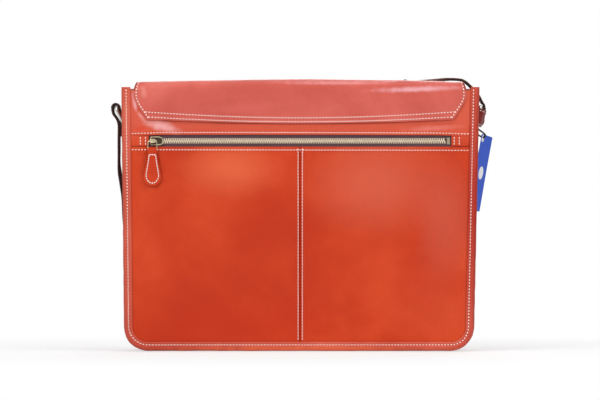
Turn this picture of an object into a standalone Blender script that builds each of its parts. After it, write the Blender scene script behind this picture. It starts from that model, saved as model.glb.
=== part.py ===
"""Leather laptop messenger bag with a flap, a zipped back pocket and a shoulder strap.

Units are metres and +Z is up. The back of the bag faces -Y, and the origin is the
middle of the flat underside.
"""
import math

import bmesh
import bpy
from mathutils import Vector

MM = 0.001

# Clearances
GAP = 0.3 * MM
FOLD_GAP = 0.8 * MM

# Outline of the bag seen from the back
BAG_WIDTH = 400 * MM
WALL_HEIGHT = 296 * MM
CORNER_RADIUS = 27 * MM

# Thickness of the leather, cloth and board
PANEL_THICKNESS = 1.6 * MM
GUSSET_THICKNESS = 1.6 * MM
FLAP_THICKNESS = 1.8 * MM
LINING_THICKNESS = 0.8 * MM
TAPE_THICKNESS = 0.7 * MM

# Gusset between the front and the back
GUSSET_DEPTH = 76.8 * MM
GUSSET_HEIGHT = 292 * MM
GUSSET_INSET = 8 * MM
GUSSET_FLAT_DEPTH = 60 * MM
GUSSET_SINK = 12 * MM
GUSSET_SEAM = 34 * MM
SINK_LOW = 40 * MM
SINK_HIGH = 192 * MM

# Binding round the edges
RIM_WIDTH = 10 * MM
RIM_WALL = 1.5 * MM
RIM_SLOT_INSET = 2.4 * MM
RIM_INNER_WIDTH = 6.5 * MM
RIM_ROUND = 4 * MM
RIM_FLAT_ANGLE = 18

# Strip behind the seam between the two pocket panels
SEAM_STRIP_WIDTH = 14 * MM

# Zip
ZIP_HEIGHT = 236.8 * MM
ZIP_WINDOW = 13 * MM
ZIP_LENGTH = 338 * MM
CHAIN_WIDTH = 8 * MM
TOOTH_PITCH = 2.7 * MM
TOOTH_WIDTH = 1.05 * MM
TOOTH_NECK = 0.75 * MM
TOOTH_TIP = 0.75 * MM
TOOTH_REACH = 1.2 * MM
TEETH_THICKNESS = 2.6 * MM
RAIL_WIDTH = 1.6 * MM
TOP_STOP_LENGTH = 2 * MM
TOP_STOP_GAP = 0.35 * MM
BOTTOM_STOP_LENGTH = 3.5 * MM
TAPE_WIDTH = 13 * MM
TAPE_OVERRUN = 17 * MM
SLIDER_LENGTH = 15 * MM
SLIDER_WIDTH = 10 * MM
SLIDER_PLATE = 1.2 * MM
SLIDER_LIP = 0.7 * MM
SLIDER_LIP_INSET = 0.02 * MM
WEDGE_LENGTH = 4.5 * MM
WEDGE_WIDTH = 2.2 * MM
BRIDGE_LENGTH = 5.4 * MM
BRIDGE_WALL = 1.1 * MM
BAIL_WIRE = 1.4 * MM
BAIL_WIDTH = 10.2 * MM
BAIL_DROP = 9.9 * MM
PULL_LENGTH = 42 * MM
PULL_WIDTH = 20.3 * MM
PULL_NECK = 8 * MM
PULL_LEATHER = 1.3 * MM
PULL_NECK_LENGTH = 3.2 * MM
PULL_ROUND_STEPS = (1.6 * MM, 4.2 * MM, 7.2 * MM)
BAIL_CORNER = 1.6 * MM

# Flap
FLAP_SIDE_MARGIN = 15.5 * MM
FLAP_RISE = 6 * MM
FLAP_CROWN = 2.1 * MM
FLAP_BOTTOM = 55 * MM
FLAP_CORNER = 28 * MM
TAIL_ABOVE_ZIP = 12.5 * MM
TAIL_BOW = 5.7 * MM
TAIL_TAPER = 8.5 * MM
TAIL_SWELL = 2.5 * MM
TAIL_LEAN = 1.1 * MM
TAIL_STATIONS = (0.19, 0.53, 0.82)

# Magnetic snaps
SNAP_RADIUS = 9 * MM
SNAP_SOCKET_DEPTH = 1.4 * MM
SNAP_STUD_DEPTH = 1.0 * MM
SNAP_PIN_RADIUS = 3 * MM
SNAP_PIN_REACH = 0.8 * MM
SNAP_EDGE = 0.4 * MM
SNAP_SPACING = 180 * MM
SNAP_HEIGHT = 95 * MM

# Inside
BOARD_TOP = 8.9 * MM
BOARD_MARGIN = 8 * MM
LINING_INSET = 21.5 * MM
LINING_CORNER = 20 * MM
LINING_TOP = 289 * MM
DIVIDER_THICKNESS = 8 * MM
DIVIDER_DEPTH = -8 * MM
DIVIDER_TOP = 248 * MM
DIVIDER_EDGE = 2 * MM
FRONT_POCKET_TOP = 205 * MM

# Strap rings and their tabs
RING_WIRE = 3.5 * MM
RING_WIDTH = 29.5 * MM
RING_HEIGHT = 26.5 * MM
RING_CORNER = 4 * MM
RING_STAND_OFF = 4.6 * MM
RING_PIVOT_Z = 251.3 * MM
RING_LEAN_LEFT = 26
RING_LEAN_RIGHT = 18
TAB_WIDTH = 20 * MM
TAB_LEATHER = 1.4 * MM
TAB_BOTTOM = 200 * MM

# Shoulder strap and hang tag
STRAP_WIDTH = 19.5 * MM
STRAP_THICKNESS = 2.6 * MM
LOOP_SLACK = 0.4 * MM
STRAP_LIFT = 0.45 * MM
TAG_WIDTH = 36 * MM
TAG_HEIGHT = 86.4 * MM
TAG_THICKNESS = 0.8 * MM
TAG_HOLE_RADIUS = 2.4 * MM
TAG_HOLE_INSET = 4.5 * MM
TAG_HOLE_DROP = 5 * MM
TAG_WIRE = 1.4 * MM
TAG_CORNER = 3 * MM
TAG_HOLE_OUT = 10.2 * MM
TAG_HOLE_FALL = 11.2 * MM

# Layers of the back and the front, outwards from the middle of the bag
FLANGE_IN = GUSSET_DEPTH / 2
FLANGE_OUT = FLANGE_IN + GUSSET_THICKNESS
WALL_IN = FLANGE_OUT + GAP
WALL_OUT = WALL_IN + PANEL_THICKNESS
SLIDER_BACK_IN = WALL_OUT + GAP
SLIDER_BACK_OUT = SLIDER_BACK_IN + SLIDER_PLATE
TAPE_IN = SLIDER_BACK_OUT + GAP
TAPE_OUT = TAPE_IN + TAPE_THICKNESS
TEETH_OUT = TAPE_IN + TEETH_THICKNESS
PANEL_IN = TAPE_OUT + GAP
PANEL_OUT = PANEL_IN + PANEL_THICKNESS
SLIDER_FRONT_IN = TEETH_OUT + GAP
SLIDER_FRONT_OUT = SLIDER_FRONT_IN + SLIDER_PLATE
SLOT_IN = FLANGE_IN - GAP
SLOT_OUT = PANEL_OUT + GAP
RIM_IN = SLOT_IN - RIM_WALL
RIM_OUT = SLOT_OUT + RIM_WALL
TAIL_IN = PANEL_OUT + GAP
TAIL_MIDDLE = TAIL_IN + FLAP_THICKNESS / 2
SOCKET_IN = PANEL_OUT + GAP
STUD_IN = SOCKET_IN + SNAP_SOCKET_DEPTH + GAP
FLAP_IN = STUD_IN + SNAP_STUD_DEPTH + GAP
FLAP_MIDDLE = FLAP_IN + FLAP_THICKNESS / 2
FLAP_OUT = FLAP_IN + FLAP_THICKNESS

# Places that follow from the sizes above
HALF_WIDTH = BAG_WIDTH / 2
ROUTE_UNIT = STRAP_WIDTH / 19.5
PANEL_EDGE_INSET = RIM_SLOT_INSET + GAP
GUSSET_FACE = HALF_WIDTH - GUSSET_INSET + GUSSET_THICKNESS / 2
RING_PIVOT_X = GUSSET_FACE + RING_STAND_OFF
FLAP_HALF_WIDTH = HALF_WIDTH - FLAP_SIDE_MARGIN
FLAP_FOLD_HEIGHT = WALL_HEIGHT + FLAP_RISE
TAIL_FOLD = Vector((0, TAIL_LEAN - TAIL_MIDDLE, FLAP_FOLD_HEIGHT))
FRONT_FOLD = Vector((0, FLAP_MIDDLE, FLAP_FOLD_HEIGHT))
ZIP_START = -ZIP_LENGTH / 2
SLIDER_START = ZIP_START - GAP
WEDGE_START = ZIP_START + TOP_STOP_LENGTH + GAP
TOOTH_START = WEDGE_START + WEDGE_LENGTH + GAP + TOOTH_WIDTH / 2
WINDOW_TOP = ZIP_HEIGHT + ZIP_WINDOW / 2
WINDOW_BOTTOM = ZIP_HEIGHT - ZIP_WINDOW / 2
TAIL_BOTTOM = WINDOW_TOP + TAIL_ABOVE_ZIP
BAIL_RADIUS = BAIL_WIRE / 2
BAIL_AXIS_Y = -(SLIDER_FRONT_OUT + BAIL_RADIUS + 2 * GAP)
BAIL_X = SLIDER_START + BRIDGE_LENGTH / 2 + GAP
RING_RADIUS = RING_WIRE / 2
EYE_RADIUS = RING_RADIUS + GAP + TAB_LEATHER / 2
TAG_LOOP_DEPTH = (TAB_WIDTH / 2 + RING_WIDTH / 2 - RING_RADIUS) / 2


def material(name, colour, roughness, metallic=0.0):
    """Principled material of one finish."""
    made = bpy.data.materials.get(name)
    if made is None:
        made = bpy.data.materials.new(name)
        made.use_nodes = True
        shader = made.node_tree.nodes["Principled BSDF"]
        shader.inputs["Base Color"].default_value = (*colour, 1.0)
        shader.inputs["Roughness"].default_value = roughness
        shader.inputs["Metallic"].default_value = metallic
    return made


FINISHES = {
    "panel_leather": ((0.53, 0.05, 0.015), 0.38, 0.0),
    "flap_leather": ((0.60, 0.12, 0.08), 0.34, 0.0),
    "gusset_leather": ((0.42, 0.05, 0.02), 0.42, 0.0),
    "strap_leather": ((0.14, 0.025, 0.022), 0.45, 0.0),
    "lining_cloth": ((0.28, 0.20, 0.13), 0.85, 0.0),
    "zip_tape_cloth": ((0.08, 0.04, 0.05), 0.80, 0.0),
    "zip_brass": ((0.62, 0.48, 0.26), 0.35, 1.0),
    "antique_brass": ((0.22, 0.18, 0.11), 0.40, 1.0),
    "ring_steel": ((0.62, 0.60, 0.58), 0.25, 1.0),
    "grey_board": ((0.30, 0.29, 0.27), 0.80, 0.0),
    "tag_card": ((0.05, 0.10, 0.46), 0.50, 0.0),
    "black_plastic": ((0.015, 0.015, 0.015), 0.45, 0.0),
}


def add_part(name, mesh, finish, pivot=(0.0, 0.0, 0.0), smooth=False, parent=None):
    """Turns a bmesh in world places into an object whose origin is the pivot."""
    origin = Vector(pivot)
    bmesh.ops.translate(mesh, verts=mesh.verts, vec=-origin)
    data = bpy.data.meshes.new(name)
    mesh.to_mesh(data)
    mesh.free()
    if smooth:
        data.shade_smooth()
        data.set_sharp_from_angle(angle=math.radians(40))
    data.materials.append(material(finish, *FINISHES[finish]))
    part = bpy.data.objects.new(name, data)
    bpy.context.scene.collection.objects.link(part)
    part.parent = parent
    while parent is not None:
        origin = origin - parent.location
        parent = parent.parent
    part.location = origin
    return part


def skin(rings, ends="face"):
    """One closed solid through a row of rings with equal counts.

    ends is face for a flat cap, strips for the two sides of a sheet, and loop
    where the last ring meets the first.
    """
    mesh = bmesh.new()
    loops = [[mesh.verts.new(point) for point in ring] for ring in rings]
    count = len(loops[0])
    pairs = list(zip(loops, loops[1:]))
    if ends == "loop":
        pairs.append((loops[-1], loops[0]))
    for first, second in pairs:
        for here in range(count):
            after = (here + 1) % count
            mesh.faces.new((first[here], first[after], second[after], second[here]))
    if ends == "face":
        mesh.faces.new(list(reversed(loops[0])))
        mesh.faces.new(loops[-1])
    if ends == "strips":
        for loop in (loops[0], loops[-1]):
            for here in range(count // 2 - 1):
                far = count - 1 - here
                mesh.faces.new((loop[here], loop[here + 1], loop[far - 1], loop[far]))
    bmesh.ops.recalc_face_normals(mesh, faces=mesh.faces)
    return mesh


def sheet(outer, inner):
    """Sheet of leather or cloth between two grids of points."""
    return skin([face + list(reversed(back)) for face, back in zip(outer, inner)], "strips")


def plate(outline, near, far):
    """Flat plate: an outline of X and Z points, from depth near to depth far."""
    return skin([[Vector((x, depth, z)) for x, z in outline] for depth in (near, far)])


def box(low, high):
    """Plain block between two corners."""
    outline = [(low[0], low[2]), (high[0], low[2]), (high[0], high[2]), (low[0], high[2])]
    return plate(outline, low[1], high[1])


def strip_sides(path, thickness):
    """Both sides of a flat path that gets a thickness, mitred at each point."""
    left, right = [], []
    for place, point in enumerate(path):
        before = Vector(path[max(place - 1, 0)])
        after = Vector(path[min(place + 1, len(path) - 1)])
        here = Vector(point)
        first = (here - before).normalized() if place else (after - here).normalized()
        second = (after - here).normalized() if place < len(path) - 1 else first
        along = (first + second).normalized()
        across = Vector((-along.y, along.x))
        reach = thickness / 2 / max(across.dot(Vector((-first.y, first.x))), 0.5)
        left.append(here + across * reach)
        right.append(here - across * reach)
    return left, right


def arc(centre, radius, start, stop, steps):
    """Points on a flat arc; the angles are in degrees."""
    points = []
    for step in range(steps + 1):
        angle = math.radians(start + (stop - start) * step / steps)
        points.append((centre[0] + radius * math.cos(angle), centre[1] + radius * math.sin(angle)))
    return points


def wire(path, radius, level, sides=8):
    """Closed wire ring along a closed flat path; level is square to the path's plane."""
    rings = []
    for place, point in enumerate(path):
        after = path[(place + 1) % len(path)]
        before = path[place - 1]
        along = (after - before).normalized()
        across = along.cross(level).normalized()
        ring = []
        for side in range(sides):
            angle = math.tau * side / sides
            ring.append(point + radius * (math.cos(angle) * across + math.sin(angle) * level))
        rings.append(ring)
    return skin(rings, "loop")


def edge_stations(top, side_steps=1, corner_steps=6, floor_steps=1):
    """Points and outward directions down the left side, along the floor and up the right."""
    stations = []
    for step in range(side_steps):
        height = top + (CORNER_RADIUS - top) * step / side_steps
        stations.append((Vector((-HALF_WIDTH, height)), Vector((-1, 0))))
    centre = Vector((-HALF_WIDTH + CORNER_RADIUS, CORNER_RADIUS))
    for step in range(corner_steps + 1):
        angle = math.pi + math.pi / 2 * step / corner_steps
        outward = Vector((math.cos(angle), math.sin(angle)))
        stations.append((centre + outward * CORNER_RADIUS, outward))
    for step in range(1, floor_steps):
        across = -centre.x * (2 * step / floor_steps - 1)
        stations.append((Vector((across, 0)), Vector((0, -1))))
    mirrored = []
    for point, outward in reversed(stations):
        if point.x < -GAP:
            mirrored.append((Vector((-point.x, point.y)), Vector((-outward.x, outward.y))))
    left = [station for station in stations if station[0].x <= GAP]
    return left + mirrored


def panel_outline(inset, top, left=None, right=None):
    """Outline of a panel that follows the bag's edge, cut at the left or right."""
    points = [point - outward * inset for point, outward in edge_stations(top)]
    if right is not None:
        points = [point for point in points if point.x < right]
        points += [Vector((right, inset)), Vector((right, top))]
    if left is not None:
        points = [point for point in points if point.x > left]
        points = [Vector((left, top)), Vector((left, inset))] + points
    return [(point.x, point.y) for point in points]


def rounded_outline(half_width, bottom, top, corner, steps=6):
    """Outline with a straight top and two round lower corners."""
    right = arc((half_width - corner, bottom + corner), corner, -90, 0, steps)
    left = arc((corner - half_width, bottom + corner), corner, 180, 270, steps)
    return [(-half_width, top)] + left + right + [(half_width, top)]


def remove_old_objects():
    for item in list(bpy.data.objects):
        bpy.data.objects.remove(item, do_unlink=True)


def cutter(name, mesh):
    """A guide object that other shapes are cut with or joined to."""
    data = bpy.data.meshes.new(name)
    mesh.to_mesh(data)
    mesh.free()
    guide = bpy.data.objects.new(name, data)
    bpy.context.scene.collection.objects.link(guide)
    guide.hide_render = True
    guide.display_type = "WIRE"
    return guide


def combine(part, guide, operation):
    step = part.modifiers.new(guide.name, "BOOLEAN")
    step.object = guide
    step.operation = operation
    step.solver = "EXACT"
    guide.parent = part
    guide.location = -part.location


# Back of the bag


def build_back():
    plate_edge = panel_outline(PANEL_EDGE_INSET, WALL_HEIGHT)
    add_part("back_wall", plate(plate_edge, -WALL_OUT, -WALL_IN), "gusset_leather")
    reach = HALF_WIDTH - PANEL_EDGE_INSET
    upper = box((-reach, -PANEL_OUT, WINDOW_TOP), (reach, -PANEL_IN, WALL_HEIGHT))
    add_part("back_upper_panel", upper, "panel_leather")
    left = panel_outline(PANEL_EDGE_INSET, WINDOW_BOTTOM, right=-GAP / 2)
    right = panel_outline(PANEL_EDGE_INSET, WINDOW_BOTTOM, left=GAP / 2)
    add_part("pocket_panel_left", plate(left, -PANEL_OUT, -PANEL_IN), "panel_leather")
    add_part("pocket_panel_right", plate(right, -PANEL_OUT, -PANEL_IN), "panel_leather")
    half_strip = SEAM_STRIP_WIDTH / 2
    seam_top = ZIP_HEIGHT - CHAIN_WIDTH / 2 - TAPE_WIDTH - 2 * GAP
    strip = box((-half_strip, -TAPE_OUT, RIM_WIDTH), (half_strip, -TAPE_IN, seam_top))
    add_part("centre_seam_strip", strip, "gusset_leather")


def build_rim(name, side):
    """Binding with a slot for the edges; side is -1 at the back and 1 at the front."""
    middle = (RIM_OUT + RIM_IN) / 2
    half = (RIM_OUT - RIM_IN) / 2
    flat = math.cos(math.radians(RIM_FLAT_ANGLE))
    profile = [(RIM_WIDTH, RIM_OUT)]
    for angle in (90, 66, 42, RIM_FLAT_ANGLE, -RIM_FLAT_ANGLE, -42, -66, -90):
        turn = math.radians(angle)
        profile.append((RIM_ROUND * (flat - math.cos(turn)) / flat, middle + half * math.sin(turn)))
    profile += [(RIM_INNER_WIDTH, RIM_IN), (RIM_INNER_WIDTH, SLOT_IN), (RIM_SLOT_INSET, SLOT_IN)]
    profile += [(RIM_SLOT_INSET, SLOT_OUT), (RIM_WIDTH, SLOT_OUT)]
    rings = []
    for point, outward in edge_stations(WALL_HEIGHT, corner_steps=8):
        ring = []
        for inset, depth in profile:
            place = point - outward * inset
            ring.append(Vector((place.x, side * depth, place.y)))
        rings.append(ring)
    add_part(name, skin(rings), "panel_leather", smooth=True)


def gusset_row(point, outward):
    """Outer and inner points across the gusset at one place along its length."""
    sag = (GUSSET_INSET - GUSSET_THICKNESS / 2) * outward.y ** 2
    sink = 0.0
    if outward.y == 0 and SINK_LOW < point.y < SINK_HIGH:
        sink = GUSSET_SINK * math.sin(math.pi * (point.y - SINK_LOW) / (SINK_HIGH - SINK_LOW))
    flange = FLANGE_IN + GUSSET_THICKNESS / 2
    turn = FLANGE_IN - GUSSET_THICKNESS / 2
    hinge = RIM_IN - GAP - GUSSET_THICKNESS / 2
    section = [(RIM_SLOT_INSET + 2 * GAP, -flange), (GUSSET_INSET - GUSSET_THICKNESS / 2, -flange)]
    section.append((GUSSET_INSET, -turn))
    half_flat = GUSSET_FLAT_DEPTH / 2
    for depth in (-hinge, -half_flat, -half_flat / 2, 0.0, half_flat / 2, half_flat, hinge):
        fall = sag if abs(depth) <= half_flat else 0.0
        fold = sink * math.cos(math.pi / 2 * depth / hinge) ** 2
        section.append((GUSSET_INSET - fall + fold, depth))
    section += [(inset, -depth) for inset, depth in reversed(section[:3])]
    left, right = strip_sides(section, GUSSET_THICKNESS)
    rows = []
    for face in (left, right):
        row = []
        for inset, depth in face:
            place = point - outward * inset
            row.append(Vector((place.x, depth, place.y)))
        rows.append(row)
    return rows


def build_gusset():
    side_steps = 14
    for name, side in (("gusset_left", -1), ("gusset_right", 1)):
        rows = []
        for step in range(side_steps + 1):
            height = GUSSET_HEIGHT + (GUSSET_SEAM - GUSSET_HEIGHT) * step / side_steps
            rows.append(gusset_row(Vector((side * HALF_WIDTH, height)), Vector((side, 0))))
        add_part(name, sheet([row[0] for row in rows], [row[1] for row in rows]), "gusset_leather")
    rows = [gusset_row(point, outward) for point, outward in edge_stations(GUSSET_SEAM - GAP)]
    add_part("gusset_bottom", sheet([row[0] for row in rows], [row[1] for row in rows]), "gusset_leather")


# Zip of the back pocket


def comb(side, first_tooth):
    """Outline of one row of teeth on its rail; side is 1 above the middle and -1 below."""
    half = CHAIN_WIDTH / 2
    rail = half - RAIL_WIDTH
    start = ZIP_START
    end = -ZIP_START - BOTTOM_STOP_LENGTH - GAP
    points = [(start, half), (start, TOP_STOP_GAP), (start + TOP_STOP_LENGTH, TOP_STOP_GAP)]
    points.append((start + TOP_STOP_LENGTH, rail))
    centre = first_tooth
    while centre + TOOTH_WIDTH < end:
        points.append((centre - TOOTH_NECK / 2, rail))
        points.append((centre - TOOTH_WIDTH / 2, 0.0))
        points.append((centre - TOOTH_TIP / 2, -TOOTH_REACH))
        points.append((centre + TOOTH_TIP / 2, -TOOTH_REACH))
        points.append((centre + TOOTH_WIDTH / 2, 0.0))
        points.append((centre + TOOTH_NECK / 2, rail))
        centre += TOOTH_PITCH
    points += [(end, rail), (end, half)]
    return [(x, ZIP_HEIGHT + side * across) for x, across in points]


def build_zip_chain():
    near = CHAIN_WIDTH / 2 + GAP
    reach = -ZIP_START + TAPE_OVERRUN
    for name, side in (("upper", 1), ("lower", -1)):
        heights = sorted((ZIP_HEIGHT + side * near, ZIP_HEIGHT + side * (near + TAPE_WIDTH)))
        tape = box((-reach, -TAPE_OUT, heights[0]), (reach, -TAPE_IN, heights[1]))
        add_part("zip_tape_" + name, tape, "zip_tape_cloth")
        first_tooth = TOOTH_START + (TOOTH_PITCH / 2 if side < 0 else 0.0)
        teeth = plate(comb(side, first_tooth), -TEETH_OUT, -TAPE_IN)
        add_part("zip_teeth_" + name, teeth, "zip_brass")
    half = CHAIN_WIDTH / 2 - GAP
    low = (-ZIP_START - BOTTOM_STOP_LENGTH, -TEETH_OUT, ZIP_HEIGHT - half)
    add_part("zip_bottom_stop", box(low, (-ZIP_START, -TAPE_IN, ZIP_HEIGHT + half)), "zip_brass")


def build_zip_tabs():
    far = HALF_WIDTH - RIM_WIDTH - GAP
    near = GAP - ZIP_START
    low = WINDOW_BOTTOM + GAP
    high = WINDOW_TOP - GAP
    left = box((-far, -PANEL_OUT, low), (-near, -PANEL_IN, high))
    right = box((near, -PANEL_OUT, low), (far, -PANEL_IN, high))
    add_part("zip_tab_left", left, "panel_leather")
    add_part("zip_tab_right", right, "panel_leather")


def slider_outline():
    """Shield outline of a slider plate: a wide mouth on the left, a narrow tail on the right."""
    half = SLIDER_WIDTH / 2
    upper = [(0.0, 0.68 * half), (0.08, half), (0.62, half), (0.92, 0.86 * half), (1.0, 0.56 * half)]
    lower = [(along, -across) for along, across in reversed(upper)]
    return [(SLIDER_START + along * SLIDER_LENGTH, ZIP_HEIGHT + across) for along, across in lower + upper]


def build_slider():
    root = (BAIL_X, BAIL_AXIS_Y, ZIP_HEIGHT)
    front = plate(slider_outline(), -SLIDER_FRONT_OUT, -SLIDER_FRONT_IN)
    slider = add_part("zip_slider", front, "antique_brass", pivot=root)
    back = plate(slider_outline(), -SLIDER_BACK_OUT, -SLIDER_BACK_IN)
    combine(slider, cutter("slider_back_plate", back), "UNION")
    sunk = SLIDER_PLATE / 2
    wedge_end = WEDGE_START + WEDGE_LENGTH
    widest = WEDGE_START + WEDGE_LENGTH / 3
    half = WEDGE_WIDTH / 2
    wedge = [(WEDGE_START, ZIP_HEIGHT - half / 2), (widest, ZIP_HEIGHT - half)]
    wedge += [(wedge_end, ZIP_HEIGHT - half / 4), (wedge_end, ZIP_HEIGHT + half / 4)]
    wedge += [(widest, ZIP_HEIGHT + half), (WEDGE_START, ZIP_HEIGHT + half / 2)]
    post = plate(wedge, -(SLIDER_FRONT_IN + sunk), -(SLIDER_BACK_OUT - sunk))
    combine(slider, cutter("slider_wedge", post), "UNION")
    lip_low = SLIDER_START + 0.1 * SLIDER_LENGTH
    lip_high = SLIDER_START + 0.6 * SLIDER_LENGTH
    for name, side in (("upper", 1), ("lower", -1)):
        edges = (side * (SLIDER_WIDTH / 2 - SLIDER_LIP), side * (SLIDER_WIDTH / 2 - SLIDER_LIP_INSET))
        heights = sorted(ZIP_HEIGHT + edge for edge in edges)
        lip = box((lip_low, -(SLIDER_FRONT_IN + sunk), heights[0]), (lip_high, -(TAPE_OUT + GAP), heights[1]))
        combine(slider, cutter("slider_lip_" + name, lip), "UNION")
    radius = BAIL_RADIUS + GAP + BRIDGE_WALL / 2
    foot = -(SLIDER_FRONT_OUT - sunk)
    path = [(foot, ZIP_HEIGHT - radius)]
    path += arc((BAIL_AXIS_Y, ZIP_HEIGHT), radius, -90, -270, 6)
    path.append((foot, ZIP_HEIGHT + radius))
    left, right = strip_sides(path, BRIDGE_WALL)
    across = (BAIL_X - BRIDGE_LENGTH / 2, BAIL_X + BRIDGE_LENGTH / 2)
    rows = [[[Vector((x, point.x, point.y)) for x in across] for point in face] for face in (left, right)]
    combine(slider, cutter("slider_bridge", sheet(rows[0], rows[1])), "UNION")
    return slider


def rounded_loop(width, height, corner, steps=3):
    """Closed path of a rectangle with round corners; its first side lies at height zero."""
    half = width / 2 - corner
    points = arc((half, corner), corner, -90, 0, steps) + arc((half, height - corner), corner, 0, 90, steps)
    points += arc((-half, height - corner), corner, 90, 180, steps)
    return points + arc((-half, corner), corner, 180, 270, steps)


def build_bail_and_pull(slider):
    path = []
    for across, drop in rounded_loop(BAIL_WIDTH, BAIL_DROP, BAIL_CORNER):
        path.append(Vector((BAIL_X + across, BAIL_AXIS_Y, ZIP_HEIGHT - drop)))
    loop = wire(path, BAIL_RADIUS, Vector((0, 1, 0)))
    pivot = (BAIL_X, BAIL_AXIS_Y, ZIP_HEIGHT)
    bail = add_part("zip_bail", loop, "antique_brass", pivot=pivot, smooth=True, parent=slider)
    bar = ZIP_HEIGHT - BAIL_DROP
    fold = BAIL_RADIUS + GAP + PULL_LEATHER / 2
    layer = (PULL_LEATHER + GAP) / 2
    bottom = bar - PULL_LENGTH
    round_start = bottom + PULL_WIDTH / 2
    neck = bar - PULL_NECK_LENGTH
    heights = [bottom, *(bottom + rise for rise in PULL_ROUND_STEPS), round_start]
    heights += [round_start + (neck - round_start) * share for share in (0.33, 0.66, 1.0)]
    path = [(BAIL_AXIS_Y - layer, height) for height in heights]
    path += [(y, z) for y, z in arc((BAIL_AXIS_Y, bar), fold, 195, -15, 6)]
    path += [(BAIL_AXIS_Y + layer, height) for height in reversed(heights)]
    left, right = strip_sides(path, PULL_LEATHER)
    rows = [[], []]
    for place, (_, height) in enumerate(path):
        if height > neck + GAP:
            half = PULL_NECK / 2
        elif height >= round_start:
            share = (neck - height) / (neck - round_start)
            half = PULL_NECK / 2 + (PULL_WIDTH - PULL_NECK) / 2 * share ** 0.8
        else:
            drop = (round_start - height) / (round_start - bottom)
            half = PULL_WIDTH / 2 * max(math.sqrt(max(1 - drop * drop, 0.0)), 0.3)
        for face, row in ((left, rows[0]), (right, rows[1])):
            row.append([Vector((BAIL_X + x, face[place].x, face[place].y)) for x in (-half, half)])
    add_part("zip_pull", sheet(rows[0], rows[1]), "panel_leather", pivot=(BAIL_X, BAIL_AXIS_Y, bar), parent=bail)


# Flap: a tail sewn to the back, a top and a front


def build_flap():
    def tail_half_width(height):
        share = (height - TAIL_BOTTOM) / (FLAP_FOLD_HEIGHT - TAIL_BOTTOM)
        return FLAP_HALF_WIDTH - TAIL_TAPER * (1 - share) ** 2 + TAIL_SWELL * math.sin(math.pi * share)

    low = TAIL_BOTTOM + TAIL_BOW
    high = WALL_HEIGHT + GAP
    rise = (low, *(low + (high - low) * share for share in TAIL_STATIONS), high, FLAP_FOLD_HEIGHT)
    path = [(-TAIL_MIDDLE, height) for height in rise[:-1]] + [(TAIL_FOLD.y, rise[-1])]
    left, right = strip_sides(path, FLAP_THICKNESS)
    rows = [[], []]
    columns = 10
    for face, row in ((left, rows[0]), (right, rows[1])):
        for place, point in enumerate(face):
            half = tail_half_width(path[place][1])
            line = []
            for column in range(columns + 1):
                share = 2 * column / columns - 1
                drop = TAIL_BOW * (1 - share * share) if place == 0 else 0.0
                line.append(Vector((half * share, point.x, point.y - drop)))
            row.append(line)
    add_part("flap_tail", sheet(rows[0], rows[1]), "flap_leather")

    near = TAIL_FOLD.y + FOLD_GAP + FLAP_THICKNESS / 2
    middle = (near + FRONT_FOLD.y) / 2
    span = FRONT_FOLD.y - near
    path = []
    for step in range(9):
        depth = near + span * step / 8
        share = (depth - middle) / (span / 2)
        path.append((depth, FLAP_FOLD_HEIGHT + FLAP_CROWN * (1 - share * share)))
    left, right = strip_sides(path, FLAP_THICKNESS)
    across = (-FLAP_HALF_WIDTH, FLAP_HALF_WIDTH)
    rows = [[[Vector((x, point.x, point.y)) for x in across] for point in face] for face in (left, right)]
    top = add_part("flap_top", sheet(rows[0], rows[1]), "flap_leather", pivot=TAIL_FOLD)

    outline = rounded_outline(
        FLAP_HALF_WIDTH, FLAP_BOTTOM, FLAP_FOLD_HEIGHT - FOLD_GAP - FLAP_THICKNESS / 2, FLAP_CORNER
    )
    front = plate(outline, FLAP_IN, FLAP_OUT)
    return add_part("flap_front", front, "flap_leather", pivot=FRONT_FOLD, parent=top)


def turned_ring(profile, centre, steps=16):
    """Ring turned about a line along Y; the profile holds radius and depth."""
    rings = []
    for step in range(steps):
        angle = math.tau * step / steps
        turn = Vector((math.cos(angle), 0, math.sin(angle)))
        rings.append([centre + turn * radius + Vector((0, depth, 0)) for radius, depth in profile])
    return skin(rings, "loop")


def turned_stud(profile, centre, steps=16):
    """Solid turned about a line along Y, closed at both ends by flat discs."""
    rings = []
    for radius, depth in profile:
        ring = []
        for step in range(steps):
            angle = math.tau * step / steps
            turn = Vector((math.cos(angle), 0, math.sin(angle)))
            ring.append(centre + turn * radius + Vector((0, depth, 0)))
        rings.append(ring)
    return skin(rings)


def build_snaps(flap_front):
    pin = SNAP_PIN_RADIUS
    edge = SNAP_EDGE
    for name, side in (("left", -1), ("right", 1)):
        centre = Vector((side * SNAP_SPACING / 2, 0, SNAP_HEIGHT))
        deep = SOCKET_IN + SNAP_SOCKET_DEPTH
        socket = [(pin + 2 * GAP, SOCKET_IN), (SNAP_RADIUS, SOCKET_IN), (SNAP_RADIUS, deep - edge)]
        socket += [(SNAP_RADIUS - edge, deep), (pin + 2 * GAP, deep)]
        add_part("snap_socket_" + name, turned_ring(socket, centre), "antique_brass", smooth=True)
        far = STUD_IN + SNAP_STUD_DEPTH
        tip = STUD_IN - SNAP_PIN_REACH
        stud = [(pin - edge, tip), (pin, tip + edge), (pin, STUD_IN), (SNAP_RADIUS - edge, STUD_IN)]
        stud += [(SNAP_RADIUS, STUD_IN + edge), (SNAP_RADIUS, far)]
        shape = turned_stud(stud, centre)
        add_part("snap_stud_" + name, shape, "antique_brass", pivot=FRONT_FOLD, smooth=True, parent=flap_front)


# Front and inside


def build_front():
    edge = panel_outline(PANEL_EDGE_INSET, WALL_HEIGHT)
    add_part("front_panel", plate(edge, WALL_IN, WALL_OUT), "gusset_leather")
    pocket = panel_outline(PANEL_EDGE_INSET, FRONT_POCKET_TOP)
    add_part("front_pocket_panel", plate(pocket, PANEL_IN, PANEL_OUT), "gusset_leather")


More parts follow.
